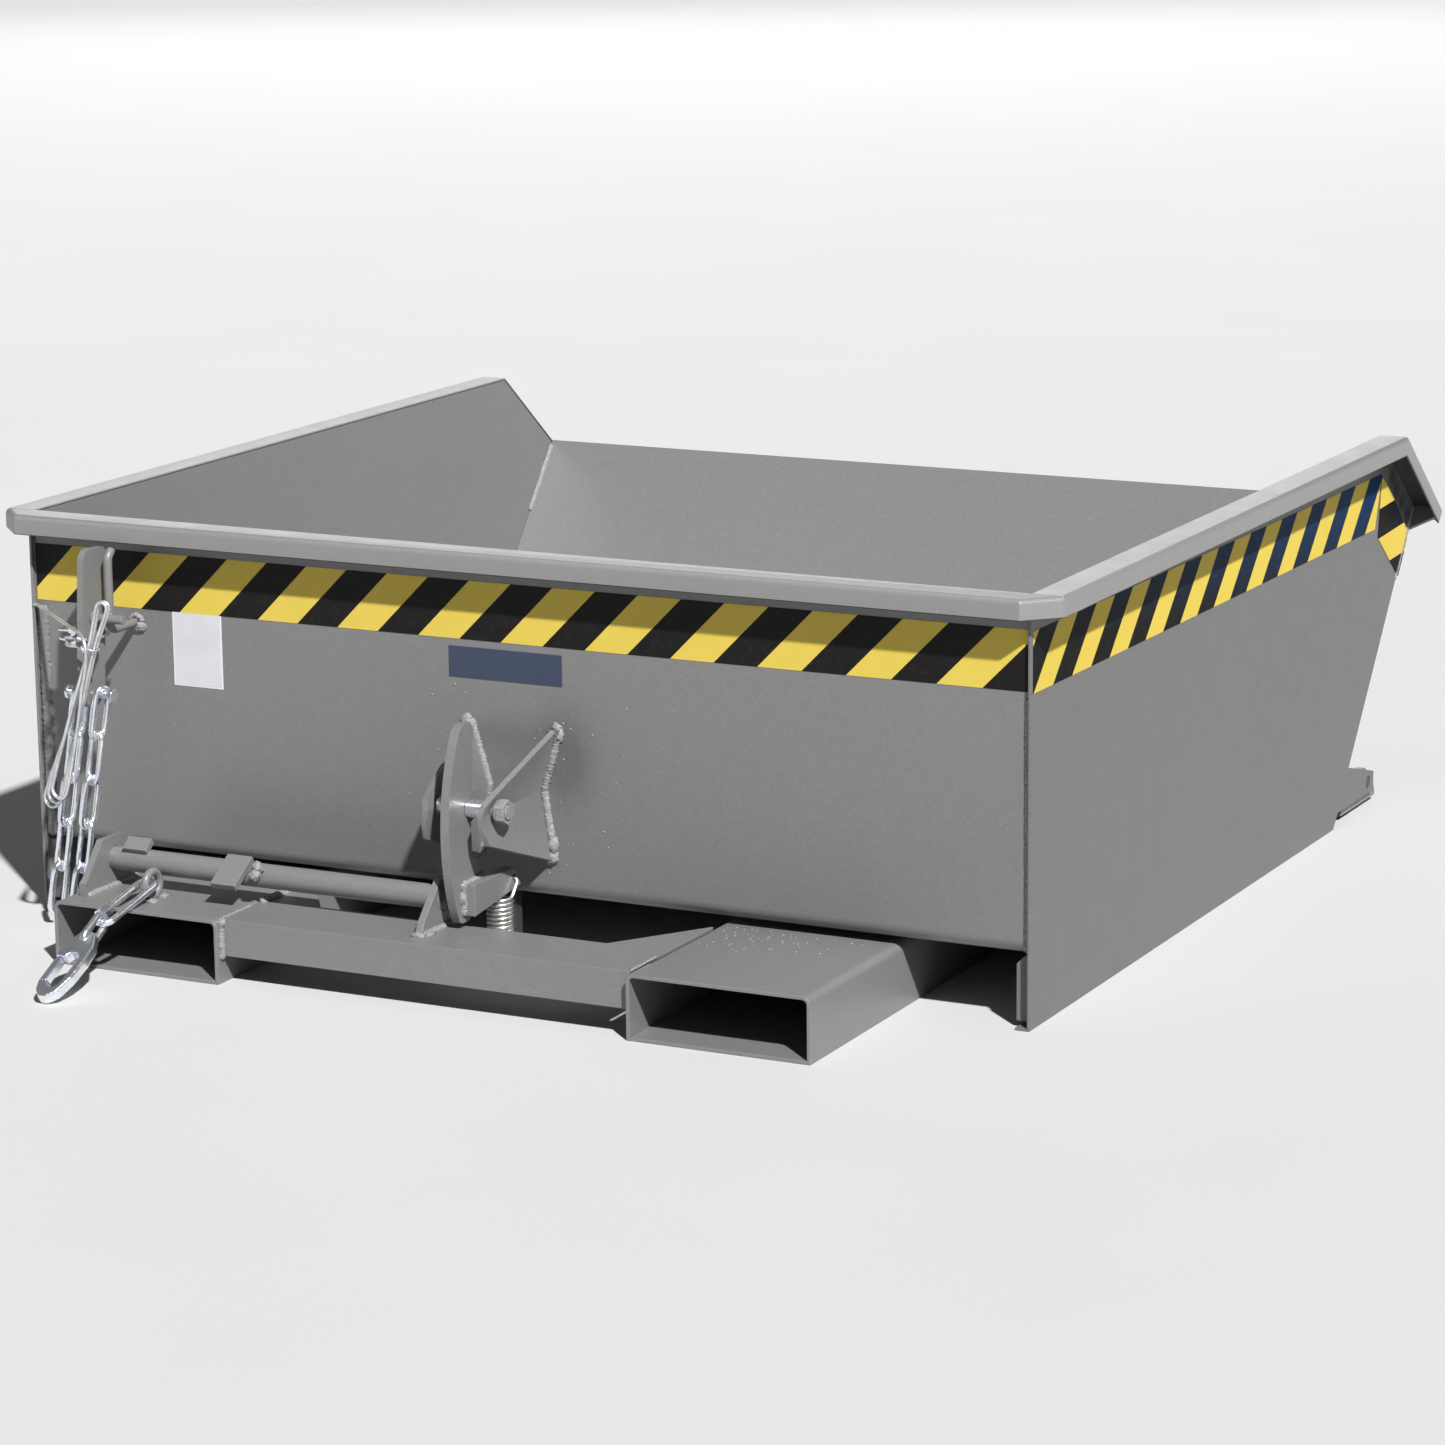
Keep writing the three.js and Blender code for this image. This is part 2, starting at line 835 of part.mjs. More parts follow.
function interlockShaft() {
  const bar26 = rodX(shaftBracketX - shaftEndOut, lugX + lugThick, shaftY, shaftZ, shaftRadius);
  const low = shaftRadius - weldSink;
  const tab = shaftPlate(tabX, tabWidth, -tabBack, tabLength - tabBack, low, low + tabThick, tabTilt);
  const stop = shaftPlate(stopPlateX, stopPlateWidth, -stopPlateLength, 0, low, low + tabThick, stopTilt);
  return join(bar26, tab, stop);
}

function shaftLug() {
  const outline = shareOutline(lugShares, shaftY, pocketHeight, lugReach, lugRise);
  const plate = plateX(outline, lugX, lugX + lugThick);
  const hole = rodX(lugX - overrun, lugX + lugThick + overrun, shaftY, shaftZ, shaftRadius + turnGap);
  return cut(plate, hole);
}

addMesh("shaft_lug", shaftLug(), paint);
addMesh("interlock_shaft", interlockShaft(), paint);

// Chain eye and quick link

const eyeAcross = new THREE.Vector3(0, 1, 0);
const eyeCentre = new THREE.Vector3(eyeX, eyeY, pocketHeight + eyeRadius + eyeWire - eyeSink);
const up = new THREE.Vector3(0, 0, 1);

function ringPoints(centre, across, along, radius, steps) {
  const points = [];
  for (let i = 0; i < steps; i += 1) {
    const angle = 2 * Math.PI * i / steps;
    const point = centre.clone();
    point.addScaledVector(across, radius * Math.cos(angle));
    point.addScaledVector(along, radius * Math.sin(angle));
    points.push(point);
  }
  return points;
}

function chainEye() {
  const ring = bar(ringPoints(eyeCentre, eyeAcross, up, eyeRadius, 20), eyeWire, 10, true);
  const reach = eyeRadius + 2 * eyeWire;
  const below = box(
    eyeX - reach,
    eyeX + reach,
    eyeY - reach,
    eyeY + reach,
    pocketHeight - 2 * eyeWire,
    pocketHeight,
  );
  return cut(ring, below);
}

// A direction towards the forklift, turned by a yaw and dropped by an angle
function downward(yaw, drop) {
  return new THREE.Vector3(
    Math.sin(yaw * degree) * Math.cos(drop * degree),
    -Math.cos(yaw * degree) * Math.cos(drop * degree),
    -Math.sin(drop * degree),
  );
}

// The link lies from inside the eye over the edge of the pocket
const linkStart = eyeCentre.clone().addScaledVector(eyeAcross, -linkSeatOut).addScaledVector(up, linkSeatUp);
const linkAlong = downward(linkYaw, linkDrop);
const linkAcross = new THREE.Vector3(Math.cos(linkYaw * degree), Math.sin(linkYaw * degree), 0);
const linkCentreLength = linkLength - 2 * linkWire;
const linkCentreWidth = linkWidth - 2 * linkWire;
const linkMiddle = linkStart.clone().addScaledVector(linkAlong, linkCentreLength / 2);
const linkEnd = linkStart.clone().addScaledVector(linkAlong, linkCentreLength);

function quickLink() {
  const points = linkPoints(linkMiddle, linkAlong, linkAcross, linkCentreLength, linkCentreWidth, 8);
  return bar(points, linkWire, 10, true);
}

function placed(geometry, across, along, origin) {
  const out = new THREE.Vector3().crossVectors(across, along);
  const turn = new THREE.Matrix4().makeBasis(across, along, out);
  return geometry.applyMatrix4(turn.setPosition(origin));
}

// The screw sleeve on the left side of the quick link
function quickLinkNut() {
  const outside = new THREE.CylinderGeometry(
    linkNutFlats / Math.sqrt(3),
    linkNutFlats / Math.sqrt(3),
    linkNutLength,
    6,
  );
  const bore = new THREE.CylinderGeometry(
    linkWire + linkNutGap,
    linkWire + linkNutGap,
    linkNutLength + 2 * overrun,
    16,
  );
  const centre = linkStart.clone().addScaledVector(linkAlong, linkNutStart + linkNutLength / 2);
  centre.addScaledVector(linkAcross, -linkCentreWidth / 2);
  return placed(cut(outside, bore), linkAcross, linkAlong, centre);
}

addMesh("chain_eye", chainEye(), paint);
addMesh("quick_link", quickLink(), zinc, 0.9, 0.3);
addMesh("quick_link_nut", quickLinkNut(), zinc, 0.9, 0.3);

// Snap hook: lies from the end of the quick link down to the ground

const hookAlong = downward(linkYaw, hookDrop);

// Across in shares of half the hook's width, along in shares of its length
const hookBodyShares = [
  [-0.45, 0.17],
  [0.45, 0.17],
  [0.9, 0.32],
  [1, 0.5],
  [0.95, 0.72],
  [0.66, 0.9],
  [0.2, 0.98],
  [-0.3, 0.98],
  [-0.7, 0.91],
  [-0.92, 0.8],
  [-1, 0.66],
  [-1, 0.45],
  [-0.9, 0.32],
];

function snapHook() {
  const half = hookThick / 2;
  const body = plateZ(shareOutline(hookBodyShares, 0, 0, hookWidth / 2, hookLength), -half, half);
  const slotFrom = hookLength * bowlStartShare;
  const slotTo = hookLength * bowlEndShare;
  const bowl = plateZ([
    ...arc(bowlShift, slotFrom + bowlHalf, bowlHalf, 180, 360, 8),
    ...arc(bowlShift, slotTo - bowlHalf, bowlHalf, 0, 180, 8),
  ], -half - overrun, half + overrun);
  const mouth = box(
    -hookWidth,
    bowlShift,
    slotFrom + bowlHalf,
    slotTo - bowlHalf,
    -half - overrun,
    half + overrun,
  );
  const out = new THREE.Vector3(0, 0, 1);
  const forward = new THREE.Vector3(0, 1, 0);
  const loopCentre = new THREE.Vector3(0, hookEyeLength / 2 - hookEyeWire - linkWire - hookPlay, 0);
  const loop = bar(linkPoints(loopCentre, forward, out, hookEyeLength, hookEyeWidth, 6), hookEyeWire, 8, true);
  return placed(join(cut(body, bowl, mouth), loop), linkAcross, hookAlong, linkEnd);
}

function hookGate() {
  const half = hookThick / 2 - gateInset;
  const from = hookLength * bowlStartShare + bowlHalf + turnGap;
  const to = hookLength * bowlEndShare - bowlHalf - turnGap;
  const width = gateWidth / 2;
  const centre = -hookWidth / 2 + width + gateInset;
  const outline = [
    ...arc(centre, from + width, width, 180, 360, 6),
    [centre + width, to],
    [centre - width, to],
  ];
  return placed(plateZ(outline, -half, half), linkAcross, hookAlong, linkEnd);
}

addMesh("snap_hook", snapHook(), zinc, 0.9, 0.35);
addMesh("hook_gate", hookGate(), zinc, 0.9, 0.35);

// Latch

const latchFace = latchX + latchThick / 2;

// A flat plate from a flat outline of points, thickened towards a direction
function slab(points, thickness, towards) {
  const normal = new THREE.Vector3()
    .crossVectors(points[1].clone().sub(points[0]), points[2].clone().sub(points[0]))
    .normalize();
  const outline = normal.dot(towards) > 0 ? points : [...points].reverse();
  if (normal.dot(towards) < 0) normal.negate();
  const count = outline.length;
  const positions = [];
  for (const point of outline) positions.push(...point.toArray());
  for (const point of outline) positions.push(...point.clone().addScaledVector(normal, thickness).toArray());
  const faces = [];
  for (let i = 1; i < count - 1; i += 1) {
    faces.push(0, i + 1, i);
    faces.push(count, count + i, count + i + 1);
  }
  for (let i = 0; i < count; i += 1) {
    const next = (i + 1) % count;
    faces.push(i, next, count + next, i, count + next, count + i);
  }
  const geometry = new THREE.BufferGeometry();
  geometry.setAttribute("position", new THREE.Float32BufferAttribute(positions, 3));
  geometry.setIndex(faces);
  return geometry;
}

const earUpperShares = [[0, 0], [1, 0], [0.97, 0.16], [0.88, 0.26], [0, 1]];
const earLowerShares = [[0, 0], [1, 0], [1, 0.19], [0.94, 0.43], [0, 1]];

// An ear is a plate folded along a level line that runs from the wall past the pin
function latchEar(side) {
  const wing = (shares, spread, z) => {
    const points = shares.map(([reach, rise]) => new THREE.Vector3(
      latchX + side * (earMidSpread + (spread - earMidSpread) * rise),
      -earReach * reach,
      earMidZ + (z - earMidZ) * rise,
    ));
    return slab(points, earPlate, new THREE.Vector3(side, 0, 0));
  };
  const upper = wing(earUpperShares, earTopSpread, earTopZ);
  const lower = wing(earLowerShares, earLowSpread, earLowZ);
  const reach = earTopSpread + earPlate;
  const hole = rodX(latchX - reach, latchX + reach, latchPinY, latchPinZ, latchPinRadius + turnGap);
  return cut(join(upper, lower), hole);
}

const latchFootShares = [
  [-0.158, -1],
  [-0.025, -1],
  [0.208, -0.8],
  [0.275, -0.625],
  [0.158, -0.558],
  [0.05, -0.417],
];
const latchHeadShares = [[0.108, 0.683], [0.05, 0.75], [-0.058, 0.75]];

function latchPlateOutline() {
  return [
    ...arc(latchArcY, latchArcZ, latchArcRadius, 153.6, 202.4, 12),
    ...shareOutline(latchFootShares, latchPinY, latchPinZ, latchReach, latchReach),
    ...arc(latchPinY, latchPinZ, latchBossRadius, -75, 60, 7),
    ...shareOutline(latchHeadShares, latchPinY, latchPinZ, latchReach, latchReach),
  ];
}

function latchPlate() {
  const plate = plateX(latchPlateOutline(), latchX - latchThick / 2, latchFace);
  const hole = rodX(latchX - latchThick, latchX + latchThick, latchPinY, latchPinZ, latchPinRadius + turnGap);
  return cut(plate, hole);
}

function latchTooth() {
  const outline = [
    [toothFrontY, toothTopZ - toothHeight],
    [toothFrontY + toothLength, toothTopZ - toothTailHeight],
    [toothFrontY + toothLength - toothTailCut, toothTopZ],
    [toothFrontY, toothTopZ],
  ];
  const tooth = plateX(outline, latchFace, latchFace + toothThick);
  const hole = rodX(latchFace - overrun, latchFace + toothThick + overrun, hookHoleY, hookHoleZ, hookHoleRadius, 12);
  return cut(tooth, hole);
}

function latchSpacer(side) {
  const inner = latchX + side * (latchThick / 2 + turnGap);
  const outer = latchX + side * (earMidSpread - turnGap);
  const [x0, x1] = [Math.min(inner, outer), Math.max(inner, outer)];
  const tube = rodX(x0, x1, latchPinY, latchPinZ, spacerRadius);
  return cut(tube, rodX(x0 - overrun, x1 + overrun, latchPinY, latchPinZ, latchPinRadius + turnGap));
}

const pinSeat = earMidSpread + earPlate + earSeatRise;

function latchPin() {
  const left = latchX - pinSeat;
  const right = latchX + pinSeat + washerThick + nutThick + pinEndOut;
  const shank = rodX(left, right, latchPinY, latchPinZ, latchPinRadius);
  return join(shank, hexX(left - pinHeadLow, left, latchPinY, latchPinZ, pinHeadFlats));
}

function latchWasher() {
  const x0 = latchX + pinSeat;
  const disc = rodX(x0, x0 + washerThick, latchPinY, latchPinZ, washerRadius);
  return cut(disc, rodX(x0 - overrun, x0 + washerThick + overrun, latchPinY, latchPinZ, latchPinRadius + turnGap));
}

function latchNut() {
  const x0 = latchX + pinSeat + washerThick;
  const nut = hexX(x0, x0 + nutThick, latchPinY, latchPinZ, nutFlats);
  return cut(nut, rodX(x0 - overrun, x0 + nutThick + overrun, latchPinY, latchPinZ, latchPinRadius + seatGap));
}

function springAnchor() {
  const low = anchorHoleZ - anchorEnd;
  const outline = [
    [anchorPostY, floorUnder],
    [anchorPostY + anchorPostWidth, floorUnder],
    [anchorPostY + anchorPostWidth, low],
    [anchorHoleY - anchorEnd, low],
    [anchorHoleY - anchorEnd, anchorHoleZ + anchorEnd],
    [anchorPostY, anchorHoleZ + anchorEnd],
  ];
  const plate = plateX(outline, anchorX, anchorX + anchorThick);
  const hole = rodX(anchorX - overrun, anchorX + anchorThick + overrun, anchorHoleY, anchorHoleZ, hookHoleRadius, 12);
  return cut(plate, hole);
}

// The tension spring: one wire from the anchor's hole up through the coil to the tooth's hole
function latchSpring() {
  const x = springX;
  const y = anchorHoleY;
  const low = anchorHoleZ + springSeat;
  const high = hookHoleZ - springSeat;
  const side = x + springRadius;
  const coilLow = springTopZ - springCurls * springPitch;
  const points = [
    new THREE.Vector3(x - springFootOut, y, low),
    new THREE.Vector3(x, y, low),
    new THREE.Vector3(side - springWire, y, low),
    new THREE.Vector3(side, y, low + springWire),
    new THREE.Vector3(side, y, (low + coilLow) / 2),
  ];
  const steps = springCurls * 8;
  for (let i = 0; i <= steps; i += 1) {
    const angle = 2 * Math.PI * i / 8;
    points.push(new THREE.Vector3(
      x + springRadius * Math.cos(angle),
      y + springRadius * Math.sin(angle),
      coilLow + (springTopZ - coilLow) * i / steps,
    ));
  }
  points.push(
    new THREE.Vector3(side, (y + hookHoleY) / 2, (springTopZ + high) / 2),
    new THREE.Vector3(side, hookHoleY, high - springWire),
    new THREE.Vector3(side - springWire, hookHoleY, high),
    new THREE.Vector3(x, hookHoleY, high),
    new THREE.Vector3(x - springHookOut, hookHoleY, high),
  );
  reportGap("latch spring", points, springWire);
  return bar(points, springWire, 5);
}

// Prints the least gap that a wound wire keeps to itself
function reportGap(label, points, radius) {
  let least = Infinity;
  for (let i = 0; i < points.length; i += 1) {
    let run = 0;
    for (let j = i + 1; j < points.length; j += 1) {
      run += points[j].distanceTo(points[j - 1]);
      if (run > 8 * radius) least = Math.min(least, points[i].distanceTo(points[j]) - 2 * radius);
    }
  }
  console.log(`${label}: least gap to itself ${least.toFixed(2)} mm`);
}

for (const [label, side] of [["left", -1], ["right", 1]]) {
  addMesh(`latch_ear_${label}`, latchEar(side), paint);
  addMesh(`latch_spacer_${label}`, latchSpacer(side), paint);
}
addMesh("latch_plate", latchPlate(), paint);
addMesh("latch_tooth", latchTooth(), paint);
addMesh("latch_pin", latchPin(), paint);
addMesh("latch_washer", latchWasher(), paint);
addMesh("latch_nut", latchNut(), paint);
addMesh("spring_anchor", springAnchor(), paint);
addMesh("latch_spring", latchSpring(), wire, 0.9, 0.3);

// Release lever

const leverPinY = bowY - bowRadius - leverPinRadius - seatGap;
const chainPinY = leverPinY - chainPinDrop * Math.sin(leverLean * degree);
const chainPinZ = leverPinZ - chainPinDrop * Math.cos(leverLean * degree);

function releaseLever() {
  const half = leverDepth / 2;
  const plate = plateX([
    [-half, leverCorner - leverBelow],
    [leverCorner - half, -leverBelow],
    [half - leverCorner, -leverBelow],
    [half, leverCorner - leverBelow],
    [half, leverAbove - leverNick],
    [half - leverNick, leverAbove],
    ...arc(leverCorner - half, leverAbove - leverCorner, leverCorner, 90, 180, 5),
  ], leverX - leverThick / 2, leverX + leverThick / 2);
  const [x0, x1] = [leverX - leverThick, leverX + leverThick];
  const hole = rodX(x0, x1, 0, 0, leverPinRadius + turnGap);
  const low = rodX(x0, x1, 0, -chainPinDrop, chainPinRadius + seatGap);
  return cut(plate, hole, low).rotateX(-leverLean * degree).translate(0, leverPinY, leverPinZ);
}

// The round bar that is welded to the wall and carries the lever's rod
function leverBar() {
  const line = roundedLine([
    [0, bowFootZ],
    [bowY, bowFootZ],
    [bowY, bowTopZ],
    [bowY + bowTipBack, bowTopZ + bowTipBack],
  ], bowRadius * 2);
  const points = line.map(([y, z]) => new THREE.Vector3(bowX, y, z));
  return bar(points, bowRadius, 12);
}

function leverRod() {
  const left = leverX - leverThick / 2 - turnGap - pinHeadThick;
  const right = leverX + leverThick / 2 + turnGap;
  const shank = rodX(left, rodRightX, leverPinY, leverPinZ, leverPinRadius, 20);
  const head = rodX(left, left + pinHeadThick, leverPinY, leverPinZ, 2 * leverPinRadius, 20);
  const collar = rodX(right, right + pinHeadThick / 2, leverPinY, leverPinZ, 2 * leverPinRadius, 20);
  return join(shank, head, collar);
}

function chainPin() {
  const reach = strandOffset + chainWidth / 2;
  const [left, right] = [leverX - reach, leverX + reach];
  const shank = rodX(left, right, chainPinY, chainPinZ, chainPinRadius, 16);
  const head = rodX(left - pinHeadThick, left, chainPinY, chainPinZ, 2 * chainPinRadius, 16);
  const collar = rodX(right, right + pinHeadThick, chainPinY, chainPinZ, 2 * chainPinRadius, 16);
  return join(shank, head, collar);
}

addMesh("release_lever", releaseLever(), paint);
addMesh("lever_bar", leverBar(), paint);
addMesh("lever_rod", leverRod(), paint);
addMesh("chain_pin", chainPin(), zinc, 0.8, 0.35);

// Chain: two strands of long links on the lever's lower pin, each with an open end hook

const chainDown = new THREE.Vector3(-Math.sin(chainLean * degree), 0, -Math.cos(chainLean * degree));
const chainFirst = new THREE.Vector3(-Math.sin(chainTwist * degree), Math.cos(chainTwist * degree), 0);
chainFirst.addScaledVector(chainDown, -chainFirst.dot(chainDown)).normalize();
const chainSecond = new THREE.Vector3().crossVectors(chainDown, chainFirst);
const linkCentreLine = chainPitch + 2 * chainWire;
const firstLinkDrop = linkCentreLine / 2 - chainPinRadius - chainWire - linkPlay / 2;
const linkStep = chainPitch - chainPlay;

function chainPoint(strand, drop) {
  const point = new THREE.Vector3(leverX + strand * strandOffset, chainPinY, chainPinZ);
  return point.addScaledVector(chainDown, drop);
}

function chainLink(strand, level) {
  const centre = chainPoint(strand, firstLinkDrop + level * linkStep);
  const across = level % 2 === 0 ? chainFirst : chainSecond;
  const points = linkPoints(centre, chainDown, across, linkCentreLine, chainWidth - 2 * chainWire, 5);
  return bar(points, chainWire, 7, true);
}

// A link that is open at its lower end
function endHook(strand) {
  const length = endHookLength - 2 * chainWire;
  const half = (chainWidth - 2 * chainWire) / 2;
  const drop = firstLinkDrop + chainLinks * linkStep + (length - linkCentreLine) / 2;
  const centre = chainPoint(strand, drop);
  const points = [];
  const addArc = (end, from, to) => {
    for (let i = 0; i <= 5; i += 1) {
      const angle = (from + (to - from) * i / 5) * degree;
      const point = centre.clone();
      point.addScaledVector(chainDown, end * (length / 2 - half + half * Math.cos(angle)));
      point.addScaledVector(chainFirst, end * half * Math.sin(angle));
      points.push(point);
    }
  };
  addArc(1, -endHookGap, -90);
  addArc(-1, 90, -90);
  addArc(1, 90, endHookGap);
  return bar(points, chainWire, 8);
}

for (const [label, strand] of [["left", -1], ["right", 1]]) {
  for (let level = 0; level < chainLinks; level += 1) {
    addMesh(`chain_${label}_${level + 1}`, chainLink(strand, level), zinc, 0.9, 0.3);
  }
  addMesh(`chain_${label}_end_hook`, endHook(strand), zinc, 0.9, 0.3);
}

// Pull rope: an eye around the lever, a clip, a lead, a hank and a tail to the side plate

const leverLeft = leverX - leverThick / 2;
const leverRight = leverX + leverThick / 2;
const leverMidY = leverPinY - (leverPinZ - ropeZ) * Math.tan(leverLean * degree);
const innerStrandX = leverLeft - 2 * turnGap - 2 * clipWire - ropeRadius;
const outerStrandX = innerStrandX - ropeStack;
const clipBackX = innerStrandX + ropeRadius + turnGap + clipWire;
const saddleX = outerStrandX - ropeRadius - turnGap;

const hankOrigin = new THREE.Vector3(hankTopX, hankY, hankTopZ);
const eyeShares = [[-0.59, 0.07, -0.505], [-0.555, 0.012, -0.52]];
const jointShare = [-0.45, -0.005, -0.525];

function smooth(points, count) {
  const curve = new THREE.CatmullRomCurve3(points, false, "centripetal");
  return curve.getSpacedPoints(count);
}

// Places of the rope as shares of its reach from the top of the hank
function nearHank(shares) {
  return shares.map((share) => hankOrigin.clone().addScaledVector(new THREE.Vector3(...share), ropeReach));
}

function ropeEye() {
  const front = leverMidY - leverDepth / 2 - 3 * ropeRadius;
  const back = leverMidY + leverDepth / 2 + 3 * ropeRadius;
  const side = leverRight + ropeRadius + 2 * turnGap;
  const lift = 2 * ropeRadius + turnGap;
  const at = (x, y, rise) => new THREE.Vector3(x, y, ropeZ + rise);
  return smooth([
    at(outerStrandX, back - ropeStack, 0),
    at(outerStrandX, clipY, 0),
    at(outerStrandX, front + lift, lift / 3),
    at(innerStrandX, front - lift / 2, lift),
    at(leverX, front - lift / 3, lift),
    at(side, front + lift, lift / 2),
    at(side, leverMidY, 0),
    at(side, back - lift, 0),
    at(leverX, back + lift / 3, 0),
    at(innerStrandX, back - lift / 3, 0),
    at(innerStrandX, clipY, 0),
    at(innerStrandX, front + lift, 0),
    ...nearHank(eyeShares),
    ropeJoint(-seatGap / 2 - 2 * ropeRadius),
    ropeJoint(-seatGap / 2),
  ], 48);
}

// The lever's stretch and the tub's stretch meet square to X, the direction of the lever's rod
function ropeJoint(along) {
  const [joint] = nearHank([jointShare]);
  return joint.setX(joint.x + along);
}

// The clip: a bent bolt around both strands, a saddle and two nuts with their legs to the left
function ropeClipBolt() {
  const tip = saddleX - clipLegOut;
  const low = new THREE.Vector3(tip, clipY, ropeZ - clipSpread);
  const points = [low];
  for (let i = 0; i <= 8; i += 1) {
    const angle = (i / 8 - 0.5) * Math.PI;
    points.push(new THREE.Vector3(
      clipBackX - clipSpread + clipSpread * Math.cos(angle),
      clipY,
      ropeZ + clipSpread * Math.sin(angle),
    ));
  }
  points.push(new THREE.Vector3(tip, clipY, ropeZ + clipSpread));
  return bar(points, clipWire, 10);
}

function ropeClipSaddle() {
  const half = clipSaddleLength / 2;
  const tall = clipSpread + 2 * clipWire;
  const nuts = [ropeClipNut(1), ropeClipNut(-1)];
  const block = box(saddleX - clipSaddleThick, saddleX, clipY - half, clipY + half, ropeZ - tall, ropeZ + tall);
  const holes = [-1, 1].map((end) => rodX(
    saddleX - clipSaddleThick - clipNutThick - overrun,
    saddleX + overrun,
    clipY,
    ropeZ + end * clipSpread,
    clipWire + seatGap,
    12,
  ));
  return cut(join(block, ...nuts), ...holes);
}

function ropeClipNut(end) {
  const x1 = saddleX - clipSaddleThick;
  return hexX(x1 - clipNutThick, x1, clipY, ropeZ + end * clipSpread, clipNutFlats);
}

// The hank: long flat turns, narrow at the tie, wound away from the wall
const hankUp = new THREE.Vector3(hankTopX - hankBottomX, 0, hankTopZ - hankBottomZ);
const hankLength = hankUp.length();
hankUp.normalize();
const hankSide = new THREE.Vector3(hankUp.z, 0, -hankUp.x);

function hankPoint(across, drop, layer) {
  const point = hankOrigin.clone();
  point.addScaledVector(hankUp, -drop);
  point.addScaledVector(hankSide, across);
  point.y -= layer * hankLayer;
  return point;
}

// One turn runs down on the left, around the lower end, up on the right and over the top
function hankTurn(turn) {
  const shift = (turn - 1) * hankFan;
  const length = hankLength - turn * hankShorter;
  const low = length - hankBottomRadius;
  const path = [
    [-hankTopRadius, hankTopRadius],
    [-hankTieHalf, hankTieDrop],
    [-(hankTieHalf + hankBottomRadius) / 2 + shift / 3, (hankTieDrop + low) / 2],
  ];
  for (let i = 0; i <= 7; i += 1) {
    const angle = Math.PI * (1 + i / 7);
    path.push([shift + hankBottomRadius * Math.cos(angle), low - hankBottomRadius * Math.sin(angle)]);
  }
  path.push(
    [(hankTieHalf + hankBottomRadius) / 2 + shift / 3, (hankTieDrop + low) / 2],
    [hankTieHalf, hankTieDrop],
  );
  for (let i = 0; i < 8; i += 1) {
    const angle = Math.PI * i / 8;
    path.push([hankTopRadius * Math.cos(angle), hankTopRadius - hankTopRadius * Math.sin(angle)]);
  }
  return path.map(([across, drop], i) => hankPoint(across, drop, turn + i / path.length));
}

const hankStart = hankPoint(-hankTieHalf - turnGap, hankStartDrop, 0);
const hankEnd = hankPoint(hankTieHalf + turnGap, hankEndDrop, hankTurns - 1 + hankEndShare);

function hankPoints() {
  const turns = [];
  for (let turn = 0; turn < hankTurns; turn += 1) turns.push(...hankTurn(turn));
  const points = [hankStart, ...turns.slice(2, -9), hankEnd];
  reportGap("rope hank", points, ropeRadius);
  return points;
}

const leadShares = [[-0.34, -0.005, -0.555], [-0.27, -0.005, -0.63]];
const tailShares = [
  [-0.223, -0.155, -0.79],
  [-0.175, -0.19, -0.62],
  [-0.175, -0.19, -0.49],
  [-0.23, -0.155, -0.4],
  [-0.33, -0.075, -0.365],
  [-0.65, 0.192, -0.356],
  [-1.1, 0.552, -0.344],
  [-1.52, 0.89, -0.332],
];

// Ends of neighbouring stretches stand a small gap apart along the rope
function ropeLead() {
  const before = hankStart.clone().addScaledVector(hankUp, ropeRadius * 2);
  const last = hankStart.clone().addScaledVector(hankUp, seatGap);
  const start = ropeJoint(seatGap / 2);
  const straight = ropeJoint(seatGap / 2 + 2 * ropeRadius);
  return smooth([start, straight, ...nearHank(leadShares), before, last], 14);
}

function ropeTail() {
  const first = hankEnd.clone().addScaledVector(hankUp, seatGap);
  const second = hankEnd.clone().addScaledVector(hankUp, ropeRadius * 2);
  const last = new THREE.Vector3(-wallInside + seatGap, tailEndY, tailEndZ);
  const square = last.clone().setX(last.x + 2 * ropeRadius);
  return [...smooth([first, second, ...nearHank(tailShares), square], 30), last];
}

// A band of wire around the strands of the hank
function hankTie() {
  const points = [];
  const straight = tieDeep - tieAcross;
  for (let i = 0; i < 16; i += 1) {
    const angle = 2 * Math.PI * (i + 0.5) / 16;
    const across = tieAcross * Math.cos(angle);
    const deep = tieAcross * Math.sin(angle) + Math.sign(Math.sin(angle)) * straight;
    points.push(hankPoint(across, hankTieDrop, tieLayer + deep / hankLayer));
  }
  return bar(points, tieWire, 6, true);
}

addMesh("pull_rope_eye", bar(ropeEye(), ropeRadius, 8), wire, 0.9, 0.35);
addMesh("rope_clip_bolt", ropeClipBolt(), zinc, 0.9, 0.3);
addMesh("rope_clip_saddle", ropeClipSaddle(), zinc, 0.9, 0.3);
addMesh("pull_rope_hank", bar(hankPoints(), ropeRadius, 6), wire, 0.9, 0.35);
addMesh("hank_tie", hankTie(), wire, 0.8, 0.4);
addMesh("pull_rope_lead", bar(ropeLead(), ropeRadius, 8), wire, 0.9, 0.35);
addMesh("pull_rope_tail", bar(ropeTail(), ropeRadius, 8), wire, 0.9, 0.35);

// The origin is on the ground, below the middle of the whole object
const bounds = new THREE.Box3().setFromObject(part);
const middle = bounds.getCenter(new THREE.Vector3());
for (const mesh of part.children) {
  mesh.geometry.translate(-middle.x, -middle.y, -bounds.min.z);
}

export default part;
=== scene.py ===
"""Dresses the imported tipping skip: camera and daylight, wire rope, grey enamel, bright zinc,
hazard tape, bare labels, weld beads and spatter.

Metres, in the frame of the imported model: +X to the right as seen from the forklift, +Y towards
the pouring end, +Z up. Places on the forklift side are given by how far out they stand from the
tub's wall, because the mechanism there is laid out from that wall.
"""

import math
import random

import bmesh
import bpy
from mathutils import Matrix, Vector, noise as fractal


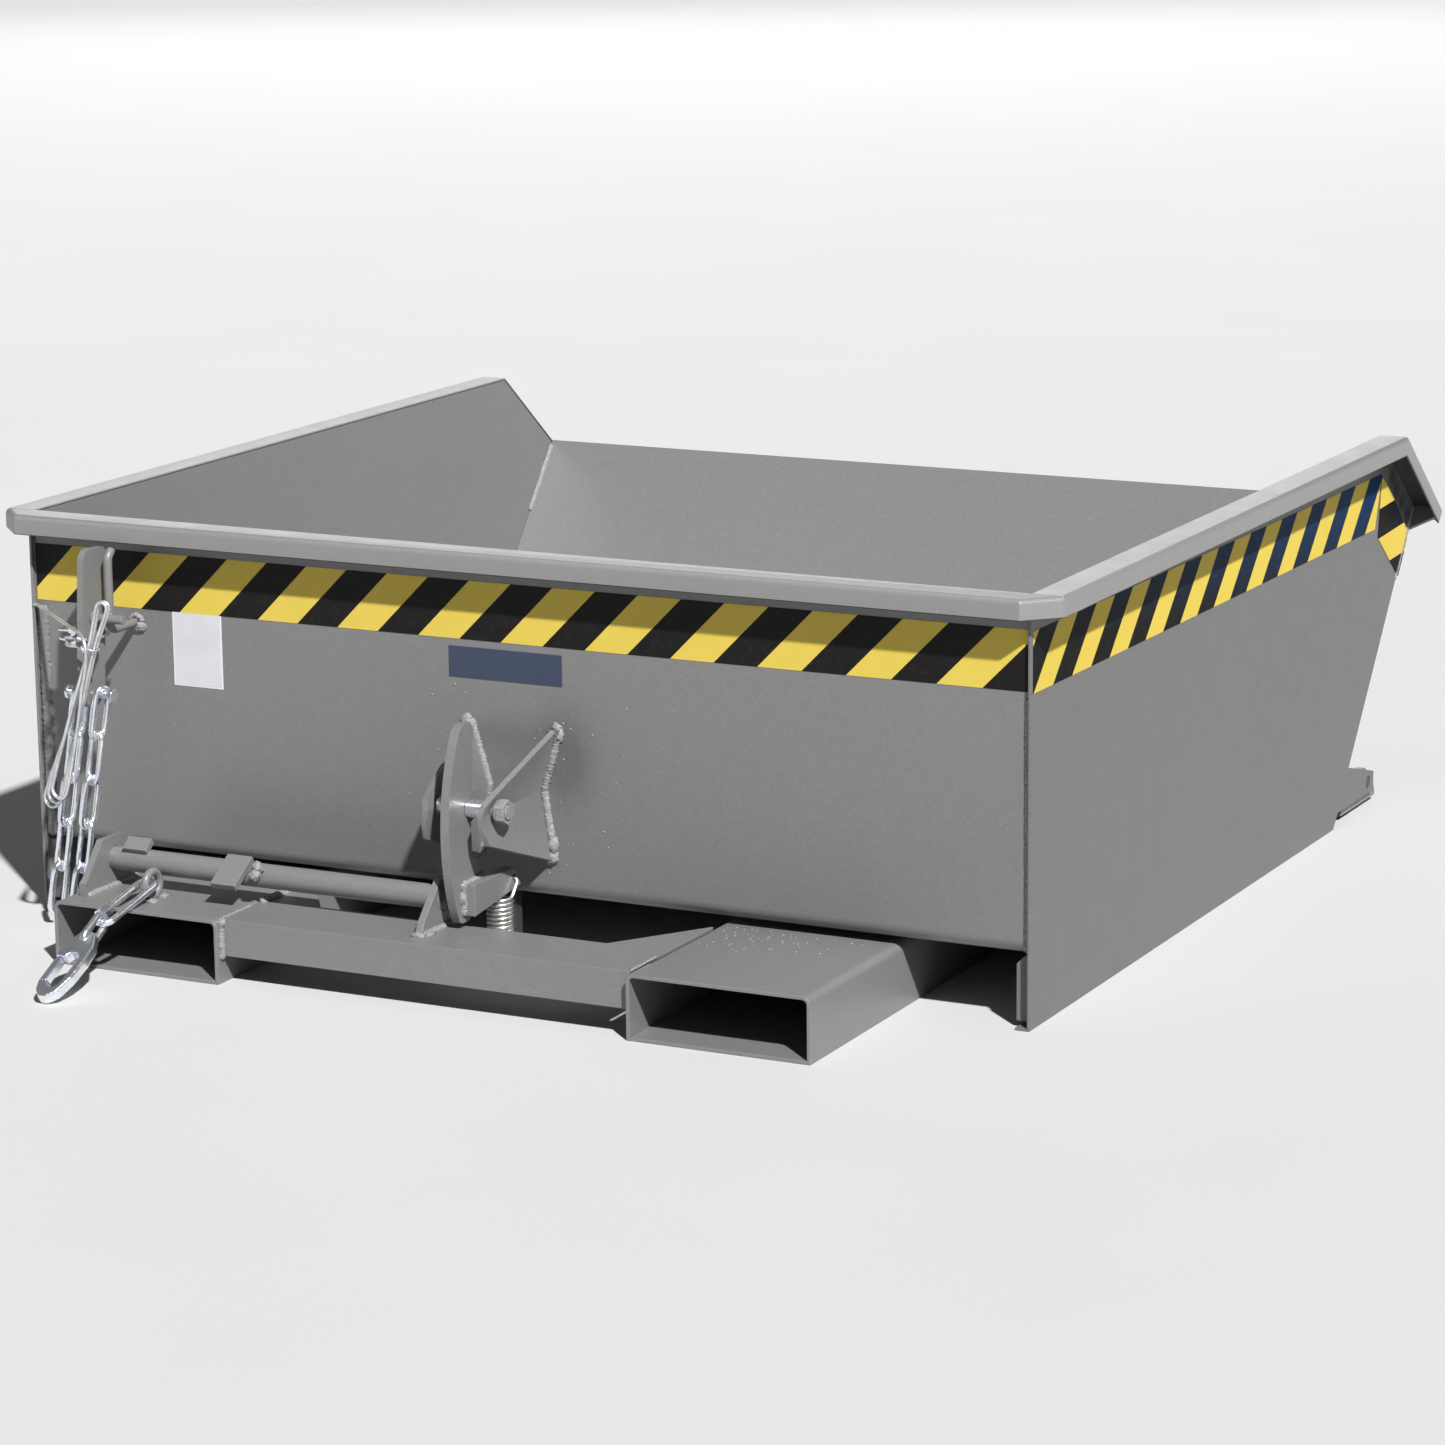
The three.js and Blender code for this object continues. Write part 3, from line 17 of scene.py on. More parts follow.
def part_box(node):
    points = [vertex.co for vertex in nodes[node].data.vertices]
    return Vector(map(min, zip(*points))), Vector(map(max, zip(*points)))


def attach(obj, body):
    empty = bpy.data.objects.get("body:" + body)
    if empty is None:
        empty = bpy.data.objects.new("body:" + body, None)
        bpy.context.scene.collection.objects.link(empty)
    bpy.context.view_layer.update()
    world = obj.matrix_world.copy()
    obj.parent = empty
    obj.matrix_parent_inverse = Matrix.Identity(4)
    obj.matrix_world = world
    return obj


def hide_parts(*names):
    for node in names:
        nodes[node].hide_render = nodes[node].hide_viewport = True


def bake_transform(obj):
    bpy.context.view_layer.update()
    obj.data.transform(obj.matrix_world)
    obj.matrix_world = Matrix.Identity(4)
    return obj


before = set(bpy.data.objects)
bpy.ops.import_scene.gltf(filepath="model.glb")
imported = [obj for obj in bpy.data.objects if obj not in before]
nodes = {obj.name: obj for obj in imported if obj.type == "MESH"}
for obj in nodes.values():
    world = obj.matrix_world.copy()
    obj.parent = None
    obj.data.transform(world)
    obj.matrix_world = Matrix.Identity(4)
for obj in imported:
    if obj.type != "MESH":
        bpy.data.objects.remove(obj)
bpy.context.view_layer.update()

WALL_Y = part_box("trough_sheet")[0].y
HALF_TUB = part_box("side_plate_right")[1].x
GROUND_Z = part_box("pocket_floor_left")[0].z
SHEET = 0.003
SEAT_GAP = 0.0003
RIGHT = Vector((1, 0, 0))
UP = Vector((0, 0, 1))
SIDES = (("left", -1), ("right", 1))


def at(x, out, z):
    """A point that stands out from the forklift-side wall."""
    return Vector((x, WALL_Y - out, z))


def add_object(name, data):
    obj = bpy.data.objects.new(name, data)
    bpy.context.scene.collection.objects.link(obj)
    return obj


# Camera at the photograph's place and angle

CAMERA_X = 2.3476
CAMERA_OUT = 4.1324
CAMERA_Z = 1.3371
CAMERA_AZIMUTH = math.radians(26.89)
CAMERA_DROP = math.radians(12.74)
CAMERA_ROLL = math.radians(-0.65)
CAMERA_LENS = 114.83
CAMERA_SENSOR = 36.0
CAMERA_SHIFT = (0.001, -0.0013)


def make_camera():
    data = bpy.data.cameras.new("camera")
    data.lens = CAMERA_LENS
    data.sensor_width = CAMERA_SENSOR
    data.shift_x, data.shift_y = CAMERA_SHIFT
    camera = add_object("camera", data)
    place = Matrix.Translation(at(CAMERA_X, CAMERA_OUT, CAMERA_Z))
    turn = Matrix.Rotation(CAMERA_AZIMUTH, 4, "Z")
    tilt = Matrix.Rotation(math.pi / 2 - CAMERA_DROP, 4, "X")
    roll = Matrix.Rotation(CAMERA_ROLL, 4, "Z")
    camera.matrix_world = place @ turn @ tilt @ roll
    bpy.context.scene.camera = camera


make_camera()

# Material nodes: a noise field is its scale, its detail and its roughness


def new_material(name):
    material = bpy.data.materials.new(name)
    material.use_nodes = True
    tree = material.node_tree
    return material, tree, tree.nodes["Principled BSDF"]


def add_node(tree, kind, **settings):
    node = tree.nodes.new(kind)
    for key, value in settings.items():
        setattr(node, key, value)
    return node


def feed(tree, socket, value):
    """Gives a socket a link, a colour or a number."""
    if isinstance(value, bpy.types.NodeSocket):
        tree.links.new(value, socket)
    elif isinstance(value, tuple):
        socket.default_value = (*value, 1.0)
    else:
        socket.default_value = value


def noise(tree, scale, detail, roughness=0.5):
    """Noise over the object's own coordinates, which stand still in every pose."""
    place = add_node(tree, "ShaderNodeTexCoord")
    node = add_node(tree, "ShaderNodeTexNoise")
    node.inputs["Scale"].default_value = scale
    node.inputs["Detail"].default_value = detail
    node.inputs["Roughness"].default_value = roughness
    tree.links.new(place.outputs["Object"], node.inputs["Vector"])
    return node.outputs["Fac"]


def as_colour(value):
    """A colour as it is, or a level as a grey."""
    return value if isinstance(value, tuple) else (value,) * 3


def ramp(tree, value, stops):
    """A ramp over a value, with a level or a colour at each stop."""
    node = add_node(tree, "ShaderNodeValToRGB")
    elements = node.color_ramp.elements
    while len(elements) < len(stops):
        elements.new(0.5)
    for element, (place, colour) in zip(elements, stops):
        element.position = place
        element.color = (*as_colour(colour), 1.0)
    tree.links.new(value, node.inputs["Fac"])
    return node.outputs["Color"]


def mix(tree, share, first, second, blend="MIX"):
    """Colours or links mixed; share is a number or a link."""
    node = add_node(tree, "ShaderNodeMix", data_type="RGBA", blend_type=blend)
    for number, value in ((0, share), (6, first), (7, second)):
        feed(tree, node.inputs[number], value)
    return node.outputs[2]


def calculate(tree, operation, first, second=0.0):
    node = add_node(tree, "ShaderNodeMath", operation=operation)
    feed(tree, node.inputs[0], first)
    feed(tree, node.inputs[1], second)
    return node.outputs[0]


def shade(colour, share):
    return tuple(channel * share for channel in colour)


def clouded(tree, field, colour, low, high):
    """A colour that drifts between two shares of itself."""
    return mix(tree, noise(tree, *field), shade(colour, low), shade(colour, high))


def marks(tree, field, span, level):
    """Marks that fade in over a span of a noise field, up to a level."""
    return ramp(tree, noise(tree, *field), [(span[0], 0.0), (span[1], level)])


def spread(tree, field, low, more):
    """A noise field's values spread from a low value up by more."""
    node = add_node(tree, "ShaderNodeMapRange")
    node.inputs["To Min"].default_value = low
    node.inputs["To Max"].default_value = low + more
    tree.links.new(noise(tree, *field), node.inputs["Value"])
    return node.outputs["Result"]


def relief(tree, field, depth, under=None):
    """A normal bumped by a noise field, over another normal where there is one."""
    node = add_node(tree, "ShaderNodeBump")
    node.inputs["Strength"].default_value = 1.0
    node.inputs["Distance"].default_value = depth
    tree.links.new(noise(tree, *field), node.inputs["Height"])
    if under is not None:
        tree.links.new(under, node.inputs["Normal"])
    return node.outputs["Normal"]


def by_height(tree, direction, stops):
    """A ramp over how far a direction points up: 0 straight down, 1 straight up."""
    parts = add_node(tree, "ShaderNodeSeparateXYZ")
    tree.links.new(direction, parts.inputs["Vector"])
    height = add_node(tree, "ShaderNodeMapRange")
    height.inputs["From Min"].default_value = -1.0
    tree.links.new(parts.outputs["Z"], height.inputs["Value"])
    return ramp(tree, height.outputs["Result"], stops)


def finish_surface(tree, shader, colour, roughness, normal):
    """Links a material's colour, roughness and normal to its shader."""
    for label, value in (("Base Color", colour), ("Roughness", roughness), ("Normal", normal)):
        tree.links.new(value, shader.inputs[label])


# Grey enamel: marks have a noise field, the span of it in which they fade in, and their level

# Painted shade on faces that look down: it fades in over this span of the faces' height
UNDERSIDE_SHADE_SPAN = (0.34, 0.45)
CLOUD_FULL = 0.5
SPRAY = (3.0, 2.0)
SPRAY_SHARES = (0.96, 1.04)
MOTTLE = (240.0, 3.0, 0.6)
MOTTLE_SPAN = (0.3, 0.7)
SPECKS = ((330.0, 1.0), (0.74, 0.79), 0.6)
SCUFFS = ((21.0, 9.0, 0.75), (0.66, 0.76), 0.3)
MARK_SHARE = 1.8
ENAMEL_GLOSS = (30.0, 3.0)
ENAMEL_GLOSS_SPREAD = 0.14
ORANGE_PEEL = (700.0, 2.0)
ORANGE_PEEL_DEPTH = 0.0001
COARSE_SKIN = (380.0, 5.0, 0.75)


def painted_underside_shade(tree, colour, share):
    """Painted shade: darker where the surface looks down."""
    place = add_node(tree, "ShaderNodeTexCoord")
    dark, full = UNDERSIDE_SHADE_SPAN
    level = by_height(tree, place.outputs["Normal"], [(dark, share), (full, 1.0)])
    return mix(tree, 1.0, colour, level, "MULTIPLY")


def cloud_at(tree, colour, centre, sizes, share):
    """A soft darker cloud around a place in the object's own coordinates."""
    place = add_node(tree, "ShaderNodeTexCoord")
    scaled = add_node(tree, "ShaderNodeMapping")
    scaled.inputs["Location"].default_value = [-middle / size for middle, size in zip(centre, sizes)]
    scaled.inputs["Scale"].default_value = [1 / size for size in sizes]
    tree.links.new(place.outputs["Object"], scaled.inputs["Vector"])
    ball = add_node(tree, "ShaderNodeTexGradient", gradient_type="QUADRATIC_SPHERE")
    tree.links.new(scaled.outputs["Vector"], ball.inputs["Vector"])
    level = ramp(tree, ball.outputs["Fac"], [(0.0, 1.0), (CLOUD_FULL, share)])
    return mix(tree, 1.0, colour, level, "MULTIPLY")


def enamel(name, grey, rough=0.3, coarse=0.0, under=1.0, clouds=(), grain=0.06):
    """Uneven spray, dust specks, scuffs and orange peel, and on welds a coarse skin; where asked,
    painted shade on faces that look down and darker clouds at given places.
    """
    material, tree, shader = new_material(name)
    cloud = clouded(tree, SPRAY, grey, *SPRAY_SHARES)
    stops = list(zip(MOTTLE_SPAN, (1 - grain, 1 + grain)))
    sprayed = mix(tree, 1.0, cloud, ramp(tree, noise(tree, *MOTTLE), stops), "MULTIPLY")
    scars = mix(tree, 1.0, marks(tree, *SPECKS), marks(tree, *SCUFFS), "ADD")
    worn = mix(tree, scars, sprayed, shade(grey, MARK_SHARE))
    # Painted shade on faces that look down, laid over the worn enamel
    if under < 1.0:
        worn = painted_underside_shade(tree, worn, under)
    # Darker clouds at given places: painted shade below the right rim, and darker patches on the wall
    for centre, sizes, share in clouds:
        worn = cloud_at(tree, worn, centre, sizes, share)
    skin = relief(tree, ORANGE_PEEL, ORANGE_PEEL_DEPTH)
    if coarse:
        skin = relief(tree, COARSE_SKIN, coarse, skin)
    gloss = spread(tree, ENAMEL_GLOSS, rough, ENAMEL_GLOSS_SPREAD)
    finish_surface(tree, shader, worn, gloss, skin)
    return material


GREY = (0.152, 0.153, 0.155)
# The rims' enamel is a lighter copy of the grey: painted light on their sunlit tops
RIM_LIGHT_SHARE = 1.2
RIM_ROUGH = 0.26
RIM_GRAIN = 0.02
RIM_UNDERSIDE_SHADE_SHARE = 0.2
# Welds, nuts and pins take a lighter copy of the grey: painted highlight for the light their rough
# beads catch
WELD_HIGHLIGHT_SHARE = 1.5
WELD_ROUGH = 0.13
WELD_COARSE = 0.0014
# A near-black copy of the grey enamel: painted shade on the hinge pins and the spring anchor, which
# stand in shade
PAINTED_SHADE_SHARE = 0.25
PAINTED_SHADE_ROUGH = 0.4
# The right side plate's enamel is a darker copy of the grey: painted shade for the less light that
# side gets
SIDE_SHADE_SHARE = 0.76
SIDE_ROUGH = 0.42

# Soft dark clouds: darker patches on the wall around the latch, and painted shade below the falling
# right rim: place, half sizes and share

# Darker patches on the wall around the latch ears
WALL_DARK_CLOUDS = (
    ((0.066, 0.0, 0.232), (0.06, 0.05, 0.095), 0.72),
    ((-0.006, 0.0, 0.254), (0.062, 0.05, 0.036), 0.9),
)
NOSE_SHADE_PLACES = (
    (0.6, -1.1025, 0.3930),
    (0.6, -1.1179, 0.3737),
    (0.6, -1.1385, 0.3546),
    (0.6, -1.1590, 0.3354),
)
NOSE_SHADE_SIZES = (0.05, 0.022, 0.022)
NOSE_SHADE_SHARE = 0.3
NOSE_SHADE = tuple((place, NOSE_SHADE_SIZES, NOSE_SHADE_SHARE) for place in NOSE_SHADE_PLACES)


def clouds_on(node, clouds):
    """Clouds on a node, their places turned into the node's own coordinates."""
    inward = nodes[node].matrix_world.inverted()
    return [(inward @ at(*place), sizes, share) for place, sizes, share in clouds]


enamel_grey = enamel("enamel", GREY)
# Right side plate: a darker copy of the grey enamel as painted shade, with painted shade clouds below
# the right rim
enamel_side_shaded = enamel(
    "enamel_side_shaded", shade(GREY, SIDE_SHADE_SHARE), SIDE_ROUGH,
    clouds=clouds_on("side_plate_right", NOSE_SHADE),
)
enamel_wall = enamel("enamel_wall", GREY, clouds=clouds_on("trough_sheet", WALL_DARK_CLOUDS))
# Rim enamel: painted light as a lighter grey, and painted shade where it looks down
enamel_rim_lit_and_shaded = enamel(
    "enamel_rim_lit_and_shaded", shade(GREY, RIM_LIGHT_SHARE), RIM_ROUGH, under=RIM_UNDERSIDE_SHADE_SHARE, grain=RIM_GRAIN,
)
enamel_painted_shade = enamel("enamel_painted_shade", shade(GREY, PAINTED_SHADE_SHARE), PAINTED_SHADE_ROUGH)
# Weld enamel: a lighter grey as painted highlight
enamel_weld = enamel("enamel_weld", shade(GREY, WELD_HIGHLIGHT_SHARE), WELD_ROUGH, WELD_COARSE)

# Bright metal: each has its base colour, its patches' colour and its tarnish spots' colour

PATCHES = ((60.0, 2.0), (0.4, 0.62), 1.0)
TARNISH = ((160.0, 3.0), (0.56, 0.7), 0.8)
METAL_GLOSS = (300.0, 3.0)
METAL_GLOSS_SPREAD = 0.16
SCRATCHES = (900.0, 3.0)
ZINC_COLOURS = ((0.9, 0.92, 0.96), (0.76, 0.82, 0.94), (0.96, 0.9, 0.88))
SPRING_COLOURS = ((0.62, 0.62, 0.61), (0.55, 0.55, 0.55), (0.66, 0.65, 0.63))
ROPE_COLOURS = ((0.72, 0.73, 0.76), (0.55, 0.57, 0.61), (0.84, 0.82, 0.8))


def bright_metal(name, colours, rough, depth, metallic):
    """Plated or drawn steel: tinted patches, tarnish in spots and fine scratches."""
    material, tree, shader = new_material(name)
    shader.inputs["Metallic"].default_value = metallic
    base, patch, spot = colours
    patched = mix(tree, marks(tree, *PATCHES), base, patch)
    tarnished = mix(tree, marks(tree, *TARNISH), patched, spot)
    gloss = spread(tree, METAL_GLOSS, rough, METAL_GLOSS_SPREAD)
    finish_surface(tree, shader, tarnished, gloss, relief(tree, SCRATCHES, depth))
    return material


zinc = bright_metal("bright_zinc", ZINC_COLOURS, rough=0.17, depth=0.00005, metallic=0.95)
spring_steel = bright_metal("spring_steel", SPRING_COLOURS, rough=0.3, depth=0.00001, metallic=0.95)
rope_steel = bright_metal("rope_steel", ROPE_COLOURS, rough=0.28, depth=0.0002, metallic=0.75)

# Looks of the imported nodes: joined vertices, smooth round faces, and broken edges that catch light

JOIN_DISTANCE = 0.00001
SMOOTH_LIMIT = math.radians(38)
FLAT_LIMIT = math.radians(0.4)
EDGE_WIDTH = 0.0008
EDGE_WIDTHS = {
    "hook_gate": 0.0012,
    "quick_link_nut": 0.0012,
    "rim_left": 0.0022,
    "rim_right": 0.0022,
    "rim_front": 0.0022,
}
EDGE_SEGMENTS = 3

# Bars that are smoothed round, and how far each then swells to keep its thickness

ROUND_LEVELS = 2
LINKS = 4
LINK_SWELL = 0.00044
END_HOOK_SWELL = 0.00035
ROUND_BARS = {
    "chain_eye": 0.00022,
    "quick_link": 0.0002,
    "lever_bar": 0.00017,
    "rope_clip_bolt": 0.0002,
    "latch_spring": 0.0004,
    "hank_tie": 0.00015,
}
for side_name, _ in SIDES:
    ROUND_BARS[f"chain_{side_name}_end_hook"] = END_HOOK_SWELL
    for link in range(1, LINKS + 1):
        ROUND_BARS[f"chain_{side_name}_{link}"] = LINK_SWELL

FORGE_GRAIN = 0.0009
FORGE_SOFTNESS = 0.5
FORGE_PASSES = 26
FORGE_SWELL = 0.0005

SLOT_MATERIALS = {"paint": enamel_grey, "zinc": zinc, "spring": spring_steel, "rope": rope_steel}
OWN_MATERIALS = {
    "trough_sheet": enamel_wall,
    "side_plate_right": enamel_side_shaded,
    "rim_left": enamel_rim_lit_and_shaded,
    "rim_right": enamel_rim_lit_and_shaded,
    "rim_front": enamel_rim_lit_and_shaded,
    # Painted shade on the hinge pins and the spring anchor
    "hinge_pin_left": enamel_painted_shade,
    "hinge_pin_right": enamel_painted_shade,
    "spring_anchor": enamel_painted_shade,
    "latch_nut": enamel_weld,
    "latch_pin": enamel_weld,
    "latch_spacer_left": zinc,
    "latch_spacer_right": zinc,
}


def smooth_group():
    """Joins the vertices and shades smooth all but the sharp edges."""
    group = bpy.data.node_groups.new("join_and_smooth", "GeometryNodeTree")
    group.interface.new_socket("Geometry", in_out="INPUT", socket_type="NodeSocketGeometry")
    group.interface.new_socket("Geometry", in_out="OUTPUT", socket_type="NodeSocketGeometry")
    start = add_node(group, "NodeGroupInput")
    merge = add_node(group, "GeometryNodeMergeByDistance")
    merge.inputs["Distance"].default_value = JOIN_DISTANCE
    faces = add_node(group, "GeometryNodeSetShadeSmooth")
    edges = add_node(group, "GeometryNodeSetShadeSmooth", domain="EDGE")
    edges.inputs["Shade Smooth"].default_value = False
    angle = add_node(group, "GeometryNodeInputMeshEdgeAngle")
    wide = add_node(group, "FunctionNodeCompare", operation="GREATER_THAN")
    wide.inputs["B"].default_value = SMOOTH_LIMIT
    end = add_node(group, "NodeGroupOutput")
    group.links.new(start.outputs[0], merge.inputs["Geometry"])
    group.links.new(merge.outputs["Geometry"], faces.inputs["Geometry"])
    group.links.new(faces.outputs["Geometry"], edges.inputs["Geometry"])
    group.links.new(angle.outputs["Unsigned Angle"], wide.inputs["A"])
    group.links.new(wide.outputs["Result"], edges.inputs["Selection"])
    group.links.new(edges.outputs["Geometry"], end.inputs[0])
    return group


JOIN_AND_SMOOTH = smooth_group()


def modify(obj, name, kind, **settings):
    """Adds a modifier with its settings."""
    modifier = obj.modifiers.new(name, kind)
    for key, value in settings.items():
        setattr(modifier, key, value)


def forge(obj):
    """The round, worn-in shape of a drop forging."""
    modify(obj, "grain", "REMESH", mode="VOXEL", voxel_size=FORGE_GRAIN, use_smooth_shade=True)
    modify(obj, "soft", "SMOOTH", factor=FORGE_SOFTNESS, iterations=FORGE_PASSES)
    modify(obj, "swell", "DISPLACE", strength=FORGE_SWELL, mid_level=0.0)


def round_off(obj, swell):
    """A faceted bar made round."""
    modify(obj, "round", "SUBSURF", levels=ROUND_LEVELS, render_levels=ROUND_LEVELS)
    modify(obj, "swell", "DISPLACE", strength=swell, mid_level=0.0)


def break_edges(obj, width):
    """Facets joined where they are level, and edges rounded."""
    modify(obj, "flat", "DECIMATE", decimate_type="DISSOLVE", angle_limit=FLAT_LIMIT)
    modify(
        obj, "edge", "BEVEL", width=width, segments=EDGE_SEGMENTS, limit_method="ANGLE",
        angle_limit=SMOOTH_LIMIT, harden_normals=True,
    )


def dress_node(name, obj):
    """The node's own material or its slot's, and its shading and edges."""
    slot = obj.material_slots[0]
    slot.material = OWN_MATERIALS.get(name, SLOT_MATERIALS[slot.material.name])
    custom = obj.data.attributes.get("custom_normal")
    if custom:
        obj.data.attributes.remove(custom)
    modify(obj, "join_and_smooth", "NODES", node_group=JOIN_AND_SMOOTH)
    if name == "snap_hook":
        forge(obj)
    elif name in ROUND_BARS:
        round_off(obj, ROUND_BARS[name])
    else:
        break_edges(obj, EDGE_WIDTHS.get(name, EDGE_WIDTH))


for node_name, node_object in nodes.items():
    dress_node(node_name, node_object)

# Meshes and paths


def add_piece(name, mesh, material, body, smooth=True):
    """A mesh in the scene, which rides on its body if it has one."""
    mesh.materials.append(material)
    mesh.polygons.foreach_set("use_smooth", [smooth] * len(mesh.polygons))
    obj = add_object(name, mesh)
    if body:
        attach(obj, body)
    return obj


def mesh_of(name, points, faces):
    """A mesh from its points and its faces."""
    mesh = bpy.data.meshes.new(name)
    mesh.from_pydata([tuple(point) for point in points], [], faces)
    mesh.validate()
    return mesh


def mesh_from(name, shape):
    """A mesh from a bmesh shape, which is freed."""
    mesh = bpy.data.meshes.new(name)
    shape.to_mesh(mesh)
    shape.free()
    return mesh


def path_frames(points):
    """Two side directions at each point of a path, turned as little as possible along it."""
    side = None
    frames = []
    for i in range(len(points)):
        along = (points[min(i + 1, len(points) - 1)] - points[max(i - 1, 0)]).normalized()
        if side is None:
            side = along.orthogonal()
        side = (side - along * side.dot(along)).normalized()
        frames.append((side, along.cross(side)))
    return frames


def swept(name, points, sides, radius_at):
    """A closed tube's mesh; radius_at(i, angle) is its radius at a ring and an angle around it."""
    places = []
    for i, (point, (first, second)) in enumerate(zip(points, path_frames(points))):
        for k in range(sides):
            angle = 2 * math.pi * k / sides
            radius = radius_at(i, angle)
            places.append(point + first * radius * math.cos(angle) + second * radius * math.sin(angle))
    faces = []
    for start in range(0, (len(points) - 1) * sides, sides):
        for k in range(sides):
            after = (k + 1) % sides
            end = start + sides
            faces.append((start + k, start + after, end + after, end + k))
    last = (len(points) - 1) * sides
    faces.append(tuple(range(sides - 1, -1, -1)))
    faces.append(tuple(range(last, last + sides)))
    return mesh_of(name, places, faces)


def spaced(points, step):
    """The same path with its points a step apart."""
    result = [points[0].copy()]
    left = step
    for before, after in zip(points, points[1:]):
        span = (after - before).length
        done = 0.0
        while span - done >= left:
            done += left
            result.append(before.lerp(after, done / span))
            left = step
        left -= span - done
    if (points[-1] - result[-1]).length > step / 4:
        result.append(points[-1].copy())
    return result


def between(first, last, start, end, t):
    """The point at t on the line that is first at the start and last at the end."""
    span = end - start
    return first * ((end - t) / span) + last * ((t - start) / span)


def smooth_path(points, count):
    """A centripetal spline through the points, with that many points to each stretch."""
    line = [points[0] * 2 - points[1], *points, points[-1] * 2 - points[-2]]
    result = []
    for i in range(1, len(line) - 2):
        p0, p1, p2, p3 = line[i - 1:i + 3]
        t0 = 0.0
        t1 = t0 + math.sqrt((p1 - p0).length)
        t2 = t1 + math.sqrt((p2 - p1).length)
        t3 = t2 + math.sqrt((p3 - p2).length)
        for k in range(count):
            t = t1 + (t2 - t1) * k / count
            a1 = between(p0, p1, t0, t1, t)
            a2 = between(p1, p2, t1, t2, t)
            a3 = between(p2, p3, t2, t3, t)
            b1 = between(a1, a2, t0, t2, t)
            b2 = between(a2, a3, t1, t3, t)
            result.append(between(b1, b2, t1, t2, t))
    result.append(points[-1].copy())
    return result


# Pull rope: tail from the side plate, hank, lead to the lever and eye around it

ROPE_RADIUS = 0.002
ROPE_Z = 0.328
ROPE_LAY = 0.026
ROPE_STRANDS = 6
STRAND_SHARE = 0.2
ROPE_SIDES = 24
ROPE_STEP = 0.0016
ROPE_TURN = 2 * math.pi * ROPE_STEP / ROPE_LAY
ROPE_STACK = 0.0045
ROPE_SMOOTHING = 6
TURN_GAP = 0.0005
LEVER_X = -0.482
LEVER_HALF = 0.004
LEVER_DEPTH = 0.042
LEVER_LEAN = math.radians(4)
LEVER_PIN_OUT = 0.0623
LEVER_PIN_Z = 0.350
CLIP_OUT = 0.060
CLIP_WIRE = 0.0025
HANK_TOP = (-0.435, 0.099, 0.378)
HANK_BOTTOM_X = -0.514
HANK_BOTTOM_Z = 0.142
HANK_TURNS = 3
HANK_LAYER = 0.0048
HANK_TOP_RADIUS = 0.006
HANK_BOTTOM_RADIUS = 0.010
HANK_TIE_HALF = 0.0028
HANK_TIE_DROP = 0.054
HANK_SHORTER = 0.009
HANK_FAN = 0.006
HANK_ARC = 8
HANK_SKIPPED = (2, HANK_ARC + 1)
HANK_SMOOTHING = 5
HANK_START_DROP = 0.085
HANK_END_DROP = 0.100
HANK_END_LAYER = 2.7
TAIL_END_OUT = 0.006
TAIL_END_Z = 0.345
LEAD = (
    (-0.4940, 0.0920, 0.3275),
    (-0.4905, 0.0978, 0.3260),
    (-0.48415, 0.0995, 0.3255),
    (-0.47585, 0.0995, 0.3255),
    (-0.4690, 0.0995, 0.3225),
    (-0.4620, 0.0995, 0.3150),
)
TAIL = (
    (-0.4573, 0.1145, 0.2990),
    (-0.4525, 0.1180, 0.3160),
    (-0.4525, 0.1180, 0.3290),
    (-0.4580, 0.1145, 0.3380),
    (-0.4680, 0.1065, 0.3415),
    (-0.5000, 0.0798, 0.3424),
    (-0.5450, 0.0438, 0.3436),
    (-0.5870, 0.0100, 0.3448),
)

hank_top = at(*HANK_TOP)
hank_up = Vector((HANK_TOP[0] - HANK_BOTTOM_X, 0, HANK_TOP[2] - HANK_BOTTOM_Z))
hank_length = hank_up.length
hank_up.normalize()
hank_side = Vector((hank_up.z, 0, -hank_up.x))


def hank_point(across, drop, layer):
    """A place in the hank: across it, down from its top, and out by layers of rope."""
    return hank_top - hank_up * drop + hank_side * across - Vector((0, layer * HANK_LAYER, 0))


def hank_turn(turn):
    """Down on the left, around the lower end, up on the right and over the top."""
    shift = (turn - 1) * HANK_FAN
    low = hank_length - turn * HANK_SHORTER - HANK_BOTTOM_RADIUS
    half = (HANK_TIE_HALF + HANK_BOTTOM_RADIUS) / 2
    middle = (HANK_TIE_DROP + low) / 2
    path = [(-HANK_TOP_RADIUS, HANK_TOP_RADIUS), (-HANK_TIE_HALF, HANK_TIE_DROP)]
    path.append((shift / 3 - half, middle))
    for i in range(HANK_ARC):
        angle = math.pi * (1 + i / (HANK_ARC - 1))
        path.append((
            shift + HANK_BOTTOM_RADIUS * math.cos(angle),
            low - HANK_BOTTOM_RADIUS * math.sin(angle),
        ))
    path += [(shift / 3 + half, middle), (HANK_TIE_HALF, HANK_TIE_DROP)]
    for i in range(HANK_ARC):
        angle = math.pi * i / HANK_ARC
        path.append((HANK_TOP_RADIUS * math.cos(angle), HANK_TOP_RADIUS * (1 - math.sin(angle))))
    return [hank_point(across, drop, turn + i / len(path)) for i, (across, drop) in enumerate(path)]


hank_start = hank_point(-HANK_TIE_HALF - TURN_GAP, HANK_START_DROP, 0)
hank_end = hank_point(HANK_TIE_HALF + TURN_GAP, HANK_END_DROP, HANK_END_LAYER)


def hank_route():
    """All turns, without the points that the first and the last turn have above the tie."""
    turns = [point for turn in range(HANK_TURNS) for point in hank_turn(turn)]
    first, last = HANK_SKIPPED
    return smooth_path([hank_start, *turns[first:-last], hank_end], HANK_SMOOTHING)


def tail_route(end):
    """From the hank to the side plate, which it meets squarely."""
    return smooth_path([
        hank_end + hank_up * SEAT_GAP,
        hank_end + hank_up * 2 * ROPE_RADIUS,
        *[at(*place) for place in TAIL],
        end + Vector((2 * ROPE_RADIUS, 0, 0)),
    ], ROPE_SMOOTHING)


